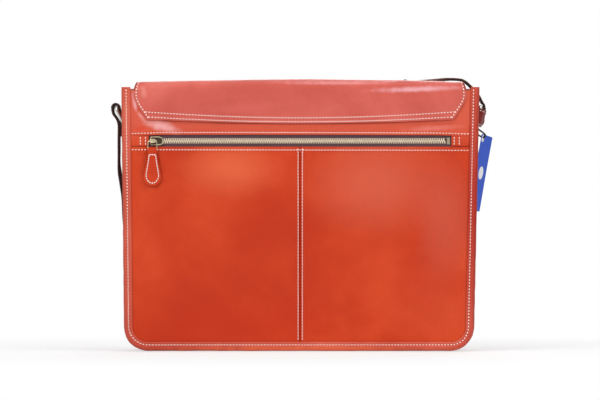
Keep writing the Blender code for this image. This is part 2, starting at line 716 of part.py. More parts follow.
def build_inside():
    board_reach = HALF_WIDTH - CORNER_RADIUS - BOARD_MARGIN
    half_flat = GUSSET_FLAT_DEPTH / 2 - GUSSET_THICKNESS
    low = (-board_reach, -half_flat, GUSSET_THICKNESS + GAP)
    high = (board_reach, half_flat, BOARD_TOP)
    add_part("base_board", box(low, high), "grey_board")
    half = HALF_WIDTH - LINING_INSET
    depth = WALL_IN - GAP
    bottom = BOARD_TOP + GAP
    shell = plate(rounded_outline(half, bottom, LINING_TOP, LINING_CORNER), -depth, depth)
    lids = [face for face in shell.faces if face.normal.z > 0.9 and face.calc_center_median().z > LINING_TOP - GAP]
    bmesh.ops.delete(shell, geom=lids, context="FACES_ONLY")
    lining = add_part("lining", shell, "lining_cloth")
    wall = lining.modifiers.new("wall", "SOLIDIFY")
    wall.thickness = LINING_THICKNESS
    wall.offset = -1
    wall.use_even_offset = True
    clear = LINING_THICKNESS + GAP
    outline = rounded_outline(half - clear, bottom + clear, DIVIDER_TOP, LINING_CORNER - clear)
    near = DIVIDER_DEPTH - DIVIDER_THICKNESS / 2
    divider = plate(outline, near, near + DIVIDER_THICKNESS)
    part = add_part("laptop_divider", divider, "lining_cloth")
    soft = part.modifiers.new("soft edge", "BEVEL")
    soft.width = DIVIDER_EDGE
    soft.segments = 2
    soft.limit_method = "ANGLE"
    soft.angle_limit = math.radians(60)


# Strap rings with their tabs


def ring_axes(side, lean):
    """Bottom bar's middle, direction up the ring and direction square out of it."""
    turn = math.radians(lean)
    pivot = Vector((side * RING_PIVOT_X, 0, RING_PIVOT_Z))
    up = Vector((side * math.sin(turn), 0, math.cos(turn)))
    out = Vector((side * math.cos(turn), 0, -math.sin(turn)))
    return pivot, up, out


def build_rings():
    for name, side, lean in (("left", -1, RING_LEAN_LEFT), ("right", 1, RING_LEAN_RIGHT)):
        pivot, up, out = ring_axes(side, lean)
        path = []
        for across, height in rounded_loop(RING_WIDTH, RING_HEIGHT, RING_CORNER):
            path.append(pivot + up * height + Vector((0, across, 0)))
        add_part("ring_" + name, wire(path, RING_RADIUS, out), "ring_steel", pivot=pivot, smooth=True)

        inner = GUSSET_FACE + GAP + TAB_LEATHER / 2
        outer = inner + TAB_LEATHER + GAP
        path = [(inner, TAB_BOTTOM), (inner, RING_PIVOT_Z - 2 * EYE_RADIUS)]
        path += arc((RING_PIVOT_X, RING_PIVOT_Z), EYE_RADIUS, 180, -30, 8)
        path += [(outer, RING_PIVOT_Z - 3 * EYE_RADIUS), (outer, TAB_BOTTOM)]
        half = TAB_WIDTH / 2
        rows = []
        for face in strip_sides(path, TAB_LEATHER):
            rows.append([[Vector((side * point.x, y, point.y)) for y in (-half, half)] for point in face])
        add_part("ring_tab_" + name, sheet(rows[0], rows[1]), "gusset_leather")


# Shoulder strap


def half_turn(start, stop, steps=6):
    return [start + (stop - start) * step / steps for step in range(steps + 1)]


def strap_right_end():
    """The sewn tail inside, the turn round the ring's near bar and the way back out."""
    half_layer = STRAP_THICKNESS / 2
    loop = RING_RADIUS + GAP + LOOP_SLACK + half_layer
    pivot, up, out = ring_axes(1, RING_LEAN_RIGHT)
    base = pivot + up * (RING_HEIGHT / 2 + STRAP_LIFT) - Vector((0, RING_WIDTH / 2, 0))
    inner = RING_RADIUS + GAP + half_layer
    outer = inner + STRAP_THICKNESS + LOOP_SLACK
    places = [(inner, 23), (inner, 16), (0.7 * inner, 10.5), (-0.4 * inner, 5.5)]
    places = [(across, depth * ROUTE_UNIT) for across, depth in places]
    places += [(loop * math.cos(angle), loop * math.sin(angle)) for angle in half_turn(math.pi, math.tau)]
    way_out = ((outer - 1.2 * ROUTE_UNIT, 7), (outer, 13.5), (outer, 21))
    places += [(across, depth * ROUTE_UNIT) for across, depth in way_out]
    return [(base + out * across + Vector((0, depth, 0)), up) for across, depth in places]


def strap_left_end():
    """The way up to the ring, the turn over its top bar and the sewn tail."""
    half_layer = STRAP_THICKNESS / 2
    loop = RING_RADIUS + GAP + LOOP_SLACK + half_layer
    pivot, up, _ = ring_axes(-1, RING_LEAN_LEFT)
    bar = pivot + up * RING_HEIGHT
    near = -(RING_PIVOT_X + EYE_RADIUS + TAB_LEATHER / 2 + GAP + half_layer)
    far = near - STRAP_THICKNESS - LOOP_SLACK
    inside = bar.x + loop
    way_up = ((far, -12.5), (far, 3.5), (far - 1.9 * ROUTE_UNIT, 10.5), (bar.x - 0.7 * loop, 17))
    places = [(x, pivot.z + rise * ROUTE_UNIT) for x, rise in way_up]
    places += [(bar.x + loop * math.cos(angle), bar.z + loop * math.sin(angle)) for angle in half_turn(math.pi, 0)]
    tail = ((0.5 * (near + inside), 17), (near - 0.5 * ROUTE_UNIT, 11), (near, 5), (near, -9))
    places += [(x, pivot.z + rise * ROUTE_UNIT) for x, rise in tail]
    return [(Vector((x, 0, z)), Vector((0, 1, 0))) for x, z in places]


def strap_middle():
    """The free run: up over the flap's corner, down the front, along the floor and up again.

    Each point counts from the place that its stretch starts from, in route units, with
    the direction of the strap's width there.
    """
    floor = STRAP_WIDTH / 2 / ROUTE_UNIT + 1.4
    runs = (
        (Vector((HALF_WIDTH, 0, RING_PIVOT_Z)), (
            ((9.4, 17.5, 14), (0.15, -0.35, 0.93)),
            ((9.6, 24, 19.5), (0.05, -0.75, 0.66)),
            ((9.2, 26.8, 26.5), (0, -1, 0.08)),
            ((6.6, 26.8, 31.5), (0, -1, 0)),
        )),
        (Vector((HALF_WIDTH, 0, FLAP_FOLD_HEIGHT)), (
            ((3.6, 26.6, -13.4), (0, -1, 0)),
            ((-2.6, 26.4, -5.8), (0, -1, 0)),
            ((-7.4, 26.6, -0.8), (0, -1, 0)),
            ((-12.4, 27.2, 3.2), (0, -1, 0)),
            ((-18, 28.5, 5.3), (-0.1, -0.99, 0)),
            ((-31, 33, 6.4), (-0.25, -0.97, 0)),
            ((-46, 39.5, 5.8), (-0.45, -0.89, 0)),
            ((-60, 46.5, 5), (-0.55, -0.83, 0)),
        )),
        (Vector((0, FLAP_OUT, FLAP_FOLD_HEIGHT)), (
            ((129, 1.2, 2.8), (-0.7, -0.6, 0.25)),
            ((121, 2.6, -5), (-0.8, -0.15, 0.55)),
            ((113, 2.2, -24), (-0.93, 0, 0.37)),
            ((104, 2, -62), (-0.97, 0, 0.25)),
            ((96, 2.2, -112), (-0.99, 0, 0.15)),
        )),
        (Vector((0, FLAP_OUT, 0)), (
            ((90, 4, 135), (-1, 0, 0.1)),
            ((86, 10, 85), (-1, 0, 0.1)),
            ((77, 23, 42), (-0.85, -0.1, 0.5)),
            ((57, 44, 18), (-0.4, -0.1, 0.9)),
            ((28, 69, floor + 0.5), (-0.1, 0, 1)),
            ((-12, 90, floor), (0, 0, 1)),
            ((-60, 97, floor), (0, 0, 1)),
            ((-100, 87, floor + 0.5), (0.05, 0, 1)),
            ((-132, 67, 19), (0.3, 0.1, 0.95)),
            ((-158, 47, 40), (0.6, 0.2, 0.75)),
            ((-180, 31, 75), (0.75, 0.45, 0.45)),
            ((-193, 20, 112), (0.6, 0.75, 0.25)),
        )),
        (Vector((-HALF_WIDTH, 0, RING_PIVOT_Z)), (
            ((0.5, 62, -104), (0.3, 0.93, 0.25)),
            ((-2.3, 50, -76), (0.05, 0.8, 0.6)),
            ((-4.2, 34, -60), (0, 0.75, 0.65)),
            ((-6, 18, -44), (0, 0.8, 0.6)),
            ((-5.6, 6, -28), (0, 0.96, 0.28)),
        )),
    )
    return [(start + Vector(place) * ROUTE_UNIT, Vector(width)) for start, run in runs for place, width in run]


def smooth_route(route, steps=2):
    """Extra places between those of the route, on a curve that passes through all of them."""
    places = []
    for here in range(len(route) - 1):
        four = [route[min(max(here + shift, 0), len(route) - 1)] for shift in (-1, 0, 1, 2)]
        for step in range(steps):
            share = step / steps
            middle = []
            for kind in (0, 1):
                a, b, c, d = (entry[kind] for entry in four)
                bend = 2 * b + (c - a) * share + (2 * a - 5 * b + 4 * c - d) * share ** 2
                middle.append(0.5 * (bend + (3 * b - a - 3 * c + d) * share ** 3))
            places.append(tuple(middle))
    places.append(route[-1])
    return places


def build_strap():
    places = smooth_route(strap_right_end() + strap_middle() + strap_left_end())
    rows = [[], []]
    length = 0.0
    for here, (point, width) in enumerate(places):
        after = places[min(here + 1, len(places) - 1)][0]
        before = places[max(here - 1, 0)][0]
        along = (after - before).normalized()
        across = (width - along * width.dot(along)).normalized()
        outward = along.cross(across)
        for side, row in ((1, rows[0]), (-1, rows[1])):
            face = point + outward * side * STRAP_THICKNESS / 2
            row.append([face + across * STRAP_WIDTH / 2, face - across * STRAP_WIDTH / 2])
        length += (after - point).length
    add_part("shoulder_strap", sheet(rows[0], rows[1]), "strap_leather")
    print("shoulder strap length", round(length, 3), "m")


# Hang tag


def build_tag():
    across = Vector((-14, -36, 4)).normalized()
    down = Vector((-15, -3.6, -85))
    down = (down - across * down.dot(across)).normalized()
    square = across.cross(down)
    pivot = Vector((RING_PIVOT_X, TAG_LOOP_DEPTH, RING_PIVOT_Z))
    hole = pivot + Vector((TAG_HOLE_OUT, 0, -TAG_HOLE_FALL))
    corner = hole - across * (TAG_WIDTH - TAG_HOLE_INSET) - down * TAG_HOLE_DROP
    half = TAG_THICKNESS / 2
    cut = TAG_CORNER
    edge = [(0, cut), (cut, 0), (TAG_WIDTH - cut, 0), (TAG_WIDTH, cut), (TAG_WIDTH, TAG_HEIGHT), (0, TAG_HEIGHT)]
    rings = [[corner + across * x + down * y + square * side for x, y in edge] for side in (-half, half)]
    card = add_part("hang_tag", skin(rings), "tag_card", pivot=pivot)
    rings = []
    for side in (-2 * TAG_THICKNESS, 2 * TAG_THICKNESS):
        ring = []
        for step in range(12):
            angle = math.tau * step / 12
            offset = (across * math.cos(angle) + down * math.sin(angle)) * TAG_HOLE_RADIUS
            ring.append(hole + square * side + offset)
        rings.append(ring)
    combine(card, cutter("tag_hole", skin(rings)), "DIFFERENCE")

    radius = TAG_WIRE / 2
    top = RING_RADIUS + GAP + radius
    rib = TAG_HOLE_DROP - TAG_HOLE_RADIUS
    low = rib / 2 + GAP + radius
    end = hole - down * (TAG_HOLE_DROP - rib / 2)
    aim = math.atan2(end.z - pivot.z, end.x - pivot.x)
    path = [(end.x, end.z, low, aim + turn) for turn in half_turn(-math.pi / 2, math.pi / 2)]
    path += [(pivot.x, pivot.z, top, aim + turn) for turn in half_turn(math.pi / 2, 1.5 * math.pi, 8)]
    points = [Vector((x + size * math.cos(turn), pivot.y, z + size * math.sin(turn))) for x, z, size, turn in path]
    loop = wire(points, radius, Vector((0, 1, 0)), sides=6)
    add_part("tag_loop", loop, "black_plastic", pivot=pivot, smooth=True, parent=card)


def main():
    remove_old_objects()
    build_back()
    build_rim("back_rim_binding", -1)
    build_rim("front_rim_binding", 1)
    build_gusset()
    build_zip_chain()
    build_zip_tabs()
    build_bail_and_pull(build_slider())
    build_snaps(build_flap())
    build_front()
    build_inside()
    build_rings()
    build_strap()
    build_tag()


main()
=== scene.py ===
import math

import bmesh
import bpy
from mathutils import Matrix, Vector, kdtree, noise


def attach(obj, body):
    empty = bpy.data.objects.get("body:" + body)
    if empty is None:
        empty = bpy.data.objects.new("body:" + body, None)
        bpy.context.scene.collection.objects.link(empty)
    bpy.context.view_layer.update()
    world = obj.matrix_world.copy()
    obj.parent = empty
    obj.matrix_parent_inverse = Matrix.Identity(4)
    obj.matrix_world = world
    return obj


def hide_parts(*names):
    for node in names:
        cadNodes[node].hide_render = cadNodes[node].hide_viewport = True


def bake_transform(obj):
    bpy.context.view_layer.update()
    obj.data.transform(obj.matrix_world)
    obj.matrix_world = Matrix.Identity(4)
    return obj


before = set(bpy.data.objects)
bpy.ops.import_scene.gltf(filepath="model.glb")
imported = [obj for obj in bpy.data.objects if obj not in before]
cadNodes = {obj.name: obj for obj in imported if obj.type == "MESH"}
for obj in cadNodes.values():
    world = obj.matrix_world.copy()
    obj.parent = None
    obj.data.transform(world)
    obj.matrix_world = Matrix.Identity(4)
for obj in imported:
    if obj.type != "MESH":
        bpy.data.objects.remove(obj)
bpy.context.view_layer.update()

mm = 0.001
tiny = 1e-6  # points nearer than this are merged
toBack = (0, -1, 0)  # the way the bag's back faces
toFront = (0, 1, 0)
scene = bpy.context.scene
print("frame loaded", len(cadNodes), "nodes")

# studio: level camera straight at the back, pale floor, soft light

studio = {
    "cameraAway": 6.0,
    "panelPlane": -0.046,
    "frameWidth": 0.6762,  # metres across the picture at the back panel
    "eyeHeight": 0.1702,
    "sensorWidth": 36,
    "farthest": 50,
    "floorHalf": 6,
    "floorLevel": -0.0006,
    "floorColour": (0.93, 0.93, 0.93, 1),
    "floorRoughness": 0.9,
    "floorShine": 0.2,
    "floorWhite": (0.26, 0.75, 0.55, 1.0),  # from here to there, the white share near the bag and far away
    "skyColour": (0.95, 0.97, 1.0, 1),
    "ambient": 0.26,
    "lamps": (
        # name, place, aim, width, height, watts
        ("keyLamp", (-1.5, -2.4, 1.7), (0, 0, 0.16), 1.6, 1.2, 45),
        ("fillLamp", (1.8, -2.2, 1.0), (0, 0, 0.16), 1.4, 1.4, 25),
        ("topLamp", (0.1, -0.5, 2.0), (0, 0, 0.28), 1.8, 0.9, 17),
        ("rearLamp", (0.4, 2.4, 1.3), (0, 0, 0.16), 1.6, 1.2, 26),
    ),
}


def addLamp(name, place, aim, width, height, watts):
    lampData = bpy.data.lights.new(name, "AREA")
    lampData.shape = "RECTANGLE"
    lampData.size = width
    lampData.size_y = height
    lampData.energy = watts
    lamp = bpy.data.objects.new(name, lampData)
    lamp.location = place
    lamp.rotation_euler = (Vector(aim) - Vector(place)).to_track_quat("-Z", "Y").to_euler()
    scene.collection.objects.link(lamp)


def addCamera():
    cameraData = bpy.data.cameras.new("camera")
    cameraData.sensor_width = studio["sensorWidth"]
    cameraData.lens = studio["sensorWidth"] * studio["cameraAway"] / studio["frameWidth"]
    cameraData.clip_end = studio["farthest"]
    camera = bpy.data.objects.new("camera", cameraData)
    camera.location = (0, studio["panelPlane"] - studio["cameraAway"], studio["eyeHeight"])
    camera.rotation_euler = (math.pi / 2, 0, 0)
    scene.collection.objects.link(camera)
    scene.camera = camera


def whiteForCamera(tree, share, lit, white, ending):
    # the share of the surface that the camera sees as plain white
    white.inputs["Color"].default_value = (1, 1, 1, 1)
    mix = tree.nodes.new("ShaderNodeMixShader")
    feed(tree, mix.inputs, (share, lit.outputs[0], white.outputs[0]))
    tree.links.new(mix.outputs[0], tree.nodes[ending].inputs["Surface"])


def buildWorld():
    world = bpy.data.worlds.new("studio")
    scene.world = world
    world.use_nodes = True
    tree = world.node_tree
    sky = tree.nodes["Background"]
    feed(tree, sky.inputs, (studio["skyColour"], studio["ambient"]))
    path = tree.nodes.new("ShaderNodeLightPath").outputs
    seen = mathNode(tree, "MAXIMUM", path["Is Camera Ray"], path["Is Transmission Ray"])
    whiteForCamera(tree, seen, sky, tree.nodes.new("ShaderNodeBackground"), "World Output")


def buildFloor():
    shape = bmesh.new()
    bmesh.ops.create_grid(shape, x_segments=1, y_segments=1, size=studio["floorHalf"])
    bmesh.ops.translate(shape, verts=shape.verts, vec=(0, 0, studio["floorLevel"]))
    floor = makeObject("floor", shape)
    paint, tree, shader, vector = newMaterial("paleFloor")
    shader.inputs["Base Color"].default_value = studio["floorColour"]
    shader.inputs["Roughness"].default_value = studio["floorRoughness"]
    shader.inputs["Specular IOR Level"].default_value = studio["floorShine"]
    away = vectorNode(tree, "LENGTH", vector)["Value"]
    seen = tree.nodes.new("ShaderNodeLightPath").outputs["Is Camera Ray"]
    share = mathNode(tree, "MULTIPLY", seen, rampNode(tree, away, studio["floorWhite"]))
    whiteForCamera(tree, share, shader, tree.nodes.new("ShaderNodeEmission"), "Material Output")
    floor.data.materials.append(paint)


def setUpStudio():
    scene.view_settings.view_transform = "Standard"
    addCamera()
    for lamp in studio["lamps"]:
        addLamp(*lamp)
    buildWorld()
    buildFloor()
    print("studio ready")


# shared tools for the pieces


def makeObject(name, shape, finish=None, body=None, stands=(), smoothAngle=40):
    data = bpy.data.meshes.new(name)
    shape.to_mesh(data)
    shape.free()
    piece = bpy.data.objects.new(name, data)
    scene.collection.objects.link(piece)
    data.shade_smooth()
    data.set_sharp_from_angle(angle=math.radians(smoothAngle))
    if finish:
        data.materials.append(finishes[finish])
    if stands:
        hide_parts(*stands)
    if body:
        carry(piece, body)
    return piece


def carry(piece, body):
    # body is a name, which the piece is attached to, or two bodies with the places where a blend between them
    # would start and end; these are not used, and the piece only gets its transform baked in
    if isinstance(body, str):
        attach(piece, body)
    else:
        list(body)
        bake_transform(piece)


def mappedGrid(across, along, place):
    # a flat grid whose points are moved to place(u, v), u and v from 0 to 1
    shape = bmesh.new()
    bmesh.ops.create_grid(shape, x_segments=across, y_segments=along, size=1)
    for vert in shape.verts:
        vert.co = place((vert.co.x + 1) / 2, (vert.co.y + 1) / 2)
    return shape


def turnOutwards(shape, outward):
    # the open sheet's faces are made to look along outward
    shape.normal_update()
    total = sum((face.normal * face.calc_area() for face in shape.faces), Vector())
    if total.dot(Vector(outward)) < 0:
        bmesh.ops.reverse_faces(shape, faces=shape.faces)
    return shape


def openRim(shape):
    return [edge for edge in shape.edges if edge.is_boundary]


def closeShape(shape):
    # a tube's seam is merged, its open ends are filled and its faces turned out
    bmesh.ops.remove_doubles(shape, verts=shape.verts, dist=tiny)
    openEdges = openRim(shape)
    if openEdges:
        bmesh.ops.holes_fill(shape, edges=openEdges, sides=0)
    bmesh.ops.recalc_face_normals(shape, faces=shape.faces)
    return shape


def addRounding(piece, width, angle):
    edge = piece.modifiers.new("rounding", "BEVEL")
    edge.width = width
    edge.segments = 2
    edge.limit_method = "ANGLE"
    edge.angle_limit = math.radians(angle)
    edge.harden_normals = True


def addThickness(piece, thickness, rounding=0.0):
    wall = piece.modifiers.new("thickness", "SOLIDIFY")
    wall.thickness = thickness
    wall.offset = -1
    wall.use_even_offset = True
    if rounding:
        addRounding(piece, rounding, 60)
    return piece


def makeSheet(name, node, finish, grid, outward, thickness, rounding=0.0):
    # a sheet is its outer face, and the thickness lies behind it
    shape = turnOutwards(mappedGrid(*grid), outward)
    return addThickness(makeObject(name, shape, finish, "bag", [node]), thickness, rounding)


def spread(low, high, count):
    # evenly spaced values with both ends
    return [low + (high - low) * step / count for step in range(count + 1)]


def arc(centre, radius, start, sweep, count):
    # points on a part of a circle, its angles in degrees
    turns = [math.radians(angle) for angle in spread(start, start + sweep, count)]
    x, y = centre
    return [Vector((x + radius * math.cos(turn), y + radius * math.sin(turn))) for turn in turns]


def roundedHalf(half, corner, rise):
    # half the width of a shape with round lower corners, at a height above its lowest edge
    if rise >= corner:
        return half
    return half - corner + math.sqrt(max(corner ** 2 - (corner - rise) ** 2, 0.0))


def aheadAt(path, number):
    return (path[min(number + 1, len(path) - 1)] - path[max(number - 1, 0)]).normalized()


def along(path, distance):
    # place and direction at a distance along a line of points
    for here, after in zip(path, path[1:]):
        step = (after - here).length
        if distance <= step:
            return here.lerp(after, distance / max(step, 1e-9)), (after - here).normalized()
        distance -= step
    return path[-1], (path[-1] - path[-2]).normalized()


def lineLength(path):
    return sum((after - here).length for here, after in zip(path, path[1:]))


def softNoise(point, size, seed=0.0):
    # smooth random value from -1 to 1 for gentle unevenness
    return noise.noise(Vector(point) / size + Vector((seed, 1.7 * seed, 0.3 * seed)))


def clampShare(value):
    return min(max(value, 0.0), 1.0)


def ease(value, low, high):
    share = clampShare((value - low) / (high - low))
    return share * share * (3 - 2 * share)


def hump(value, middle, width):
    # a smooth rise to 1 round the middle
    return math.exp(-((value - middle) / width) ** 2)


def placeMatrix(middle, axes):
    # puts a shape of unit size at a place, with its three half axes
    columns = (*axes, middle)
    return Matrix([[column[row] for column in columns] for row in range(3)] + [[0, 0, 0, 1]])


stitches = {
    "pitch": 3.5 * mm,
    "finePitch": 2.9 * mm,  # on the small pieces
    "length": 2.05 * mm,
    "thread": 0.55 * mm,  # half the thread's width
    "lie": 0.7,  # how round the thread stays, pulled into the leather
    "lift": 0.1 * mm,
    "slant": 7,
    "hole": 0.5 * mm,  # half the needle hole's width
    "holeLength": 1.3,
    "holeHeight": 0.1 * mm,
    "holeLift": 0.03 * mm,
    "batch": 20,
}


def sewLine(name, paths, outward, body, pitch=stitches["pitch"], scale=1.0):
    # paths are lines of points on the leather; outward is a direction or a function of a point
    shape = bmesh.new()
    batch = bmesh.new()
    batchMesh = bpy.data.meshes.new("stitchBatch")
    slant = math.radians(stitches["slant"])
    half = stitches["length"] / 2 * scale
    thread = stitches["thread"] * scale
    hole = stitches["hole"] * scale
    for path in paths:
        whole = lineLength(path)
        count = max(round(whole / pitch), 1)
        for number in range(count):
            point, ahead = along(path, whole * (number + 0.5) / count)
            out = Vector(outward(point) if callable(outward) else outward).normalized()
            across = out.cross(ahead).normalized()
            threadAxes = (
                (ahead * math.cos(slant) + across * math.sin(slant)) * half,
                (across * math.cos(slant) - ahead * math.sin(slant)) * thread,
                out * thread * stitches["lie"],
            )
            place = placeMatrix(point + out * stitches["lift"], threadAxes)
            bmesh.ops.create_uvsphere(batch, u_segments=8, v_segments=6, radius=1, matrix=place)
            threadFaces = len(batch.faces)
            # the needle hole at the stitch's end is a flat dot of painted shade, dark for the hole's shadowed
            # hollow
            spot, ahead = along(path, whole * number / count)
            across = out.cross(ahead).normalized()
            holeAxes = (ahead * hole * stitches["holeLength"], across * hole, out * stitches["holeHeight"])
            place = placeMatrix(spot + out * stitches["holeLift"], holeAxes)
            bmesh.ops.create_uvsphere(batch, u_segments=6, v_segments=3, radius=1, matrix=place)
            batch.faces.ensure_lookup_table()
            for face in batch.faces[threadFaces:]:
                face.material_index = 1
            if (number + 1) % stitches["batch"] == 0 or number == count - 1:
                bmesh.ops.recalc_face_normals(batch, faces=batch.faces)
                batch.to_mesh(batchMesh)
                shape.from_mesh(batchMesh)
                batch.clear()
    batch.free()
    bpy.data.meshes.remove(batchMesh)
    piece = makeObject(name, shape, "creamThread", smoothAngle=80)
    piece.data.materials.append(finishes["needleHoleShade"])
    carry(piece, body)
    return piece


# shader tools

def feed(tree, sockets, values):
    # a value is another node's output, a fixed value, or None where the socket is left alone
    for socket, value in zip(sockets, values):
        if isinstance(value, bpy.types.NodeSocket):
            tree.links.new(value, socket)
        elif value is not None:
            socket.default_value = value


def mathNode(tree, operation, *values):
    node = tree.nodes.new("ShaderNodeMath")
    node.operation = operation
    feed(tree, node.inputs, values)
    return node.outputs[0]


def vectorNode(tree, operation, *values):
    node = tree.nodes.new("ShaderNodeVectorMath")
    node.operation = operation
    feed(tree, node.inputs, values)
    return node.outputs


def mixColours(tree, share, first, second, kind="MIX"):
    node = tree.nodes.new("ShaderNodeMix")
    node.data_type = "RGBA"
    node.blend_type = kind
    colours = [(*value, 1) if isinstance(value, tuple) else value for value in (first, second)]
    feed(tree, (node.inputs[0], node.inputs[6], node.inputs[7]), (share, *colours))
    return node.outputs[2]


def noiseNode(tree, vector, size, detail=3.0, roughness=0.5, distortion=0.0):
    node = tree.nodes.new("ShaderNodeTexNoise")
    sockets = [node.inputs[label] for label in ("Vector", "Scale", "Detail", "Roughness", "Distortion")]
    feed(tree, sockets, (vector, size, detail, roughness, distortion))
    return node.outputs["Fac"]


def rampNode(tree, value, stops):
    # stops are the value's low and high end and what they become
    node = tree.nodes.new("ShaderNodeMapRange")
    node.interpolation_type = "SMOOTHSTEP"
    feed(tree, node.inputs, (value, *stops))
    return node.outputs[0]


def splitAxes(tree, vector):
    node = tree.nodes.new("ShaderNodeSeparateXYZ")
    tree.links.new(vector, node.inputs[0])
    return node.outputs


def newGroup(name, wants, gives):
    # wants has each input's first value, a number or a triple, and gives has the outputs' labels
    group = bpy.data.node_groups.new(name, "ShaderNodeTree")
    for label, value in wants.items():
        kind = "NodeSocketVector" if isinstance(value, tuple) else "NodeSocketFloat"
        group.interface.new_socket(name=label, in_out="INPUT", socket_type=kind).default_value = value
    for label in gives:
        group.interface.new_socket(name=label, in_out="OUTPUT", socket_type="NodeSocketFloat")
    return group, group.nodes.new("NodeGroupInput").outputs, group.nodes.new("NodeGroupOutput").inputs


# effects used by several materials

grain = {
    "wobbleScale": 260,
    "wobble": (0.0012, 0.0012, 0.0012),  # how far the cells are bent
    "pebbleEdge": 0.16,
    "fineScale": 2600,
    "mediumScale": 190,
    "pebbleHeight": 0.55,
    "fineHeight": 0.3,
    "mediumHeight": 0.8,
    "scratchTurn": (0.3, 0.5, 0.4),
    "scratchStretch": (1, 1, 7),
    "scratchScale": 60,
    "scratchStops": (0.66, 0.78, 0.0, 1.0),
}


def makeLeatherGrain():
    # fine pebbled grain with pores, broad clouds of colour and sparse scuffs
    wants = {"Vector": (0, 0, 0), "Grain Scale": 900.0, "Cloud Scale": 9.0}
    group, given, made = newGroup("leatherGrain", wants, ("Height", "Clouds", "Scuffs", "Pores"))
    vector = given["Vector"]
    wobble = group.nodes.new("ShaderNodeTexNoise")
    feed(group, (wobble.inputs["Vector"], wobble.inputs["Scale"]), (vector, grain["wobbleScale"]))
    bent = vectorNode(group, "MULTIPLY_ADD", wobble.outputs["Color"], grain["wobble"], vector)[0]
    cells = group.nodes.new("ShaderNodeTexVoronoi")
    cells.feature = "DISTANCE_TO_EDGE"
    feed(group, (cells.inputs["Vector"], cells.inputs["Scale"]), (bent, given["Grain Scale"]))
    pebble = rampNode(group, cells.outputs["Distance"], (0.0, grain["pebbleEdge"], 0.0, 1.0))
    fine = noiseNode(group, vector, grain["fineScale"], 2)
    medium = noiseNode(group, vector, grain["mediumScale"], 3, 0.55)
    fineShare = mathNode(group, "MULTIPLY", fine, grain["fineHeight"])
    height = mathNode(group, "MULTIPLY_ADD", pebble, grain["pebbleHeight"], fineShare)
    height = mathNode(group, "MULTIPLY_ADD", medium, grain["mediumHeight"], height)
    clouds = noiseNode(group, vector, given["Cloud Scale"], 4, 0.55, 0.4)
    stretched = group.nodes.new("ShaderNodeMapping")
    stretchedSockets = [stretched.inputs[label] for label in ("Vector", "Rotation", "Scale")]
    feed(group, stretchedSockets, (vector, grain["scratchTurn"], grain["scratchStretch"]))
    scratch = noiseNode(group, stretched.outputs[0], grain["scratchScale"], 5, 0.7)
    feed(group, made, (height, clouds, rampNode(group, scratch, grain["scratchStops"]), pebble))
    return group


weave = {"height": 0.5, "fuzzScale": 1500, "fuzzShade": 0.6, "threadShade": 0.5}


def makeClothWeave():
    # plain over and under weave from two crossed waves
    group, given, made = newGroup("clothWeave", {"Vector": (0, 0, 0), "Threads": 1800.0}, ("Height", "Shade"))
    parts = splitAxes(group, vectorNode(group, "SCALE", given["Vector"], None, None, given["Threads"])[0])
    warp = mathNode(group, "SINE", mathNode(group, "ADD", parts["X"], parts["Y"]))
    weft = mathNode(group, "SINE", parts["Z"])
    crossed = mathNode(group, "MULTIPLY", warp, weft)
    height = mathNode(group, "MULTIPLY_ADD", crossed, weave["height"], weave["height"])
    fuzz = noiseNode(group, given["Vector"], weave["fuzzScale"], 2)
    threads = mathNode(group, "MULTIPLY", height, weave["threadShade"])
    feed(group, made, (height, mathNode(group, "MULTIPLY_ADD", fuzz, weave["fuzzShade"], threads)))
    return group


def makePaintedLightSpot():
    # a soft oval patch on the leather for painted light: a painted highlight, or a lighter or darker place of
    # painted light and shade
    wants = {"Vector": (0, 0, 0), "Centre": (0, 0, 0), "Turn": 0.0, "Size": (1, 1, 1), "Ragged": 0.7}
    group, given, made = newGroup("paintedLightSpot", wants, ("Mask",))
    turned = group.nodes.new("ShaderNodeVectorRotate")
    turned.rotation_type = "Y_AXIS"
    moved = vectorNode(group, "SUBTRACT", given["Vector"], given["Centre"])[0]
    feed(group, (turned.inputs["Vector"], turned.inputs["Angle"]), (moved, given["Turn"]))
    sized = vectorNode(group, "DIVIDE", turned.outputs[0], given["Size"])[0]
    away = vectorNode(group, "LENGTH", sized)["Value"]
    uneven = mathNode(group, "SUBTRACT", noiseNode(group, given["Vector"], 120, 3, 0.6), 0.5)
    reach = mathNode(group, "MULTIPLY_ADD", uneven, given["Ragged"], away)
    feed(group, made, (rampNode(group, reach, (0.1, 1.0, 1.0, 0.0)),))
    return group


tarnish = {
    "stops": (0.42, 0.66, 0.0, 1.0),
    "hairScale": 2200,
    "dullness": 0.22,  # how much rougher the tarnish and the hairlines are than the polished metal
    "hairs": 0.14,
    "polish": 0.16,
}


def makeMetalWear():
    # tarnish in soft patches and fine hairlines
    wants = {"Vector": (0, 0, 0), "Patch Scale": 240.0}
    group, given, made = newGroup("metalWear", wants, ("Tarnish", "Height", "Roughness"))
    patches = noiseNode(group, given["Vector"], given["Patch Scale"], 4, 0.6, 0.5)
    dull = rampNode(group, patches, tarnish["stops"])
    hairs = noiseNode(group, given["Vector"], tarnish["hairScale"], 3)
    polished = mathNode(group, "MULTIPLY_ADD", hairs, tarnish["hairs"], tarnish["polish"])
    feed(group, made, (dull, hairs, mathNode(group, "MULTIPLY_ADD", dull, tarnish["dullness"], polished)))
    return group


groups = {
    "leatherGrain": makeLeatherGrain(),
    "clothWeave": makeClothWeave(),
    "metalWear": makeMetalWear(),
    "paintedLightSpot": makePaintedLightSpot(),
}
finishes = {}


def newMaterial(name):
    material = bpy.data.materials.new(name)
    material.use_nodes = True
    tree = material.node_tree
    vector = tree.nodes.new("ShaderNodeTexCoord").outputs["Object"]
    return material, tree, tree.nodes["Principled BSDF"], vector


def placeGroup(tree, name, vector, **values):
    node = tree.nodes.new("ShaderNodeGroup")
    node.node_tree = groups[name]
    tree.links.new(vector, node.inputs["Vector"])
    for label, value in values.items():
        node.inputs[label.replace("_", " ")].default_value = value
    return node.outputs


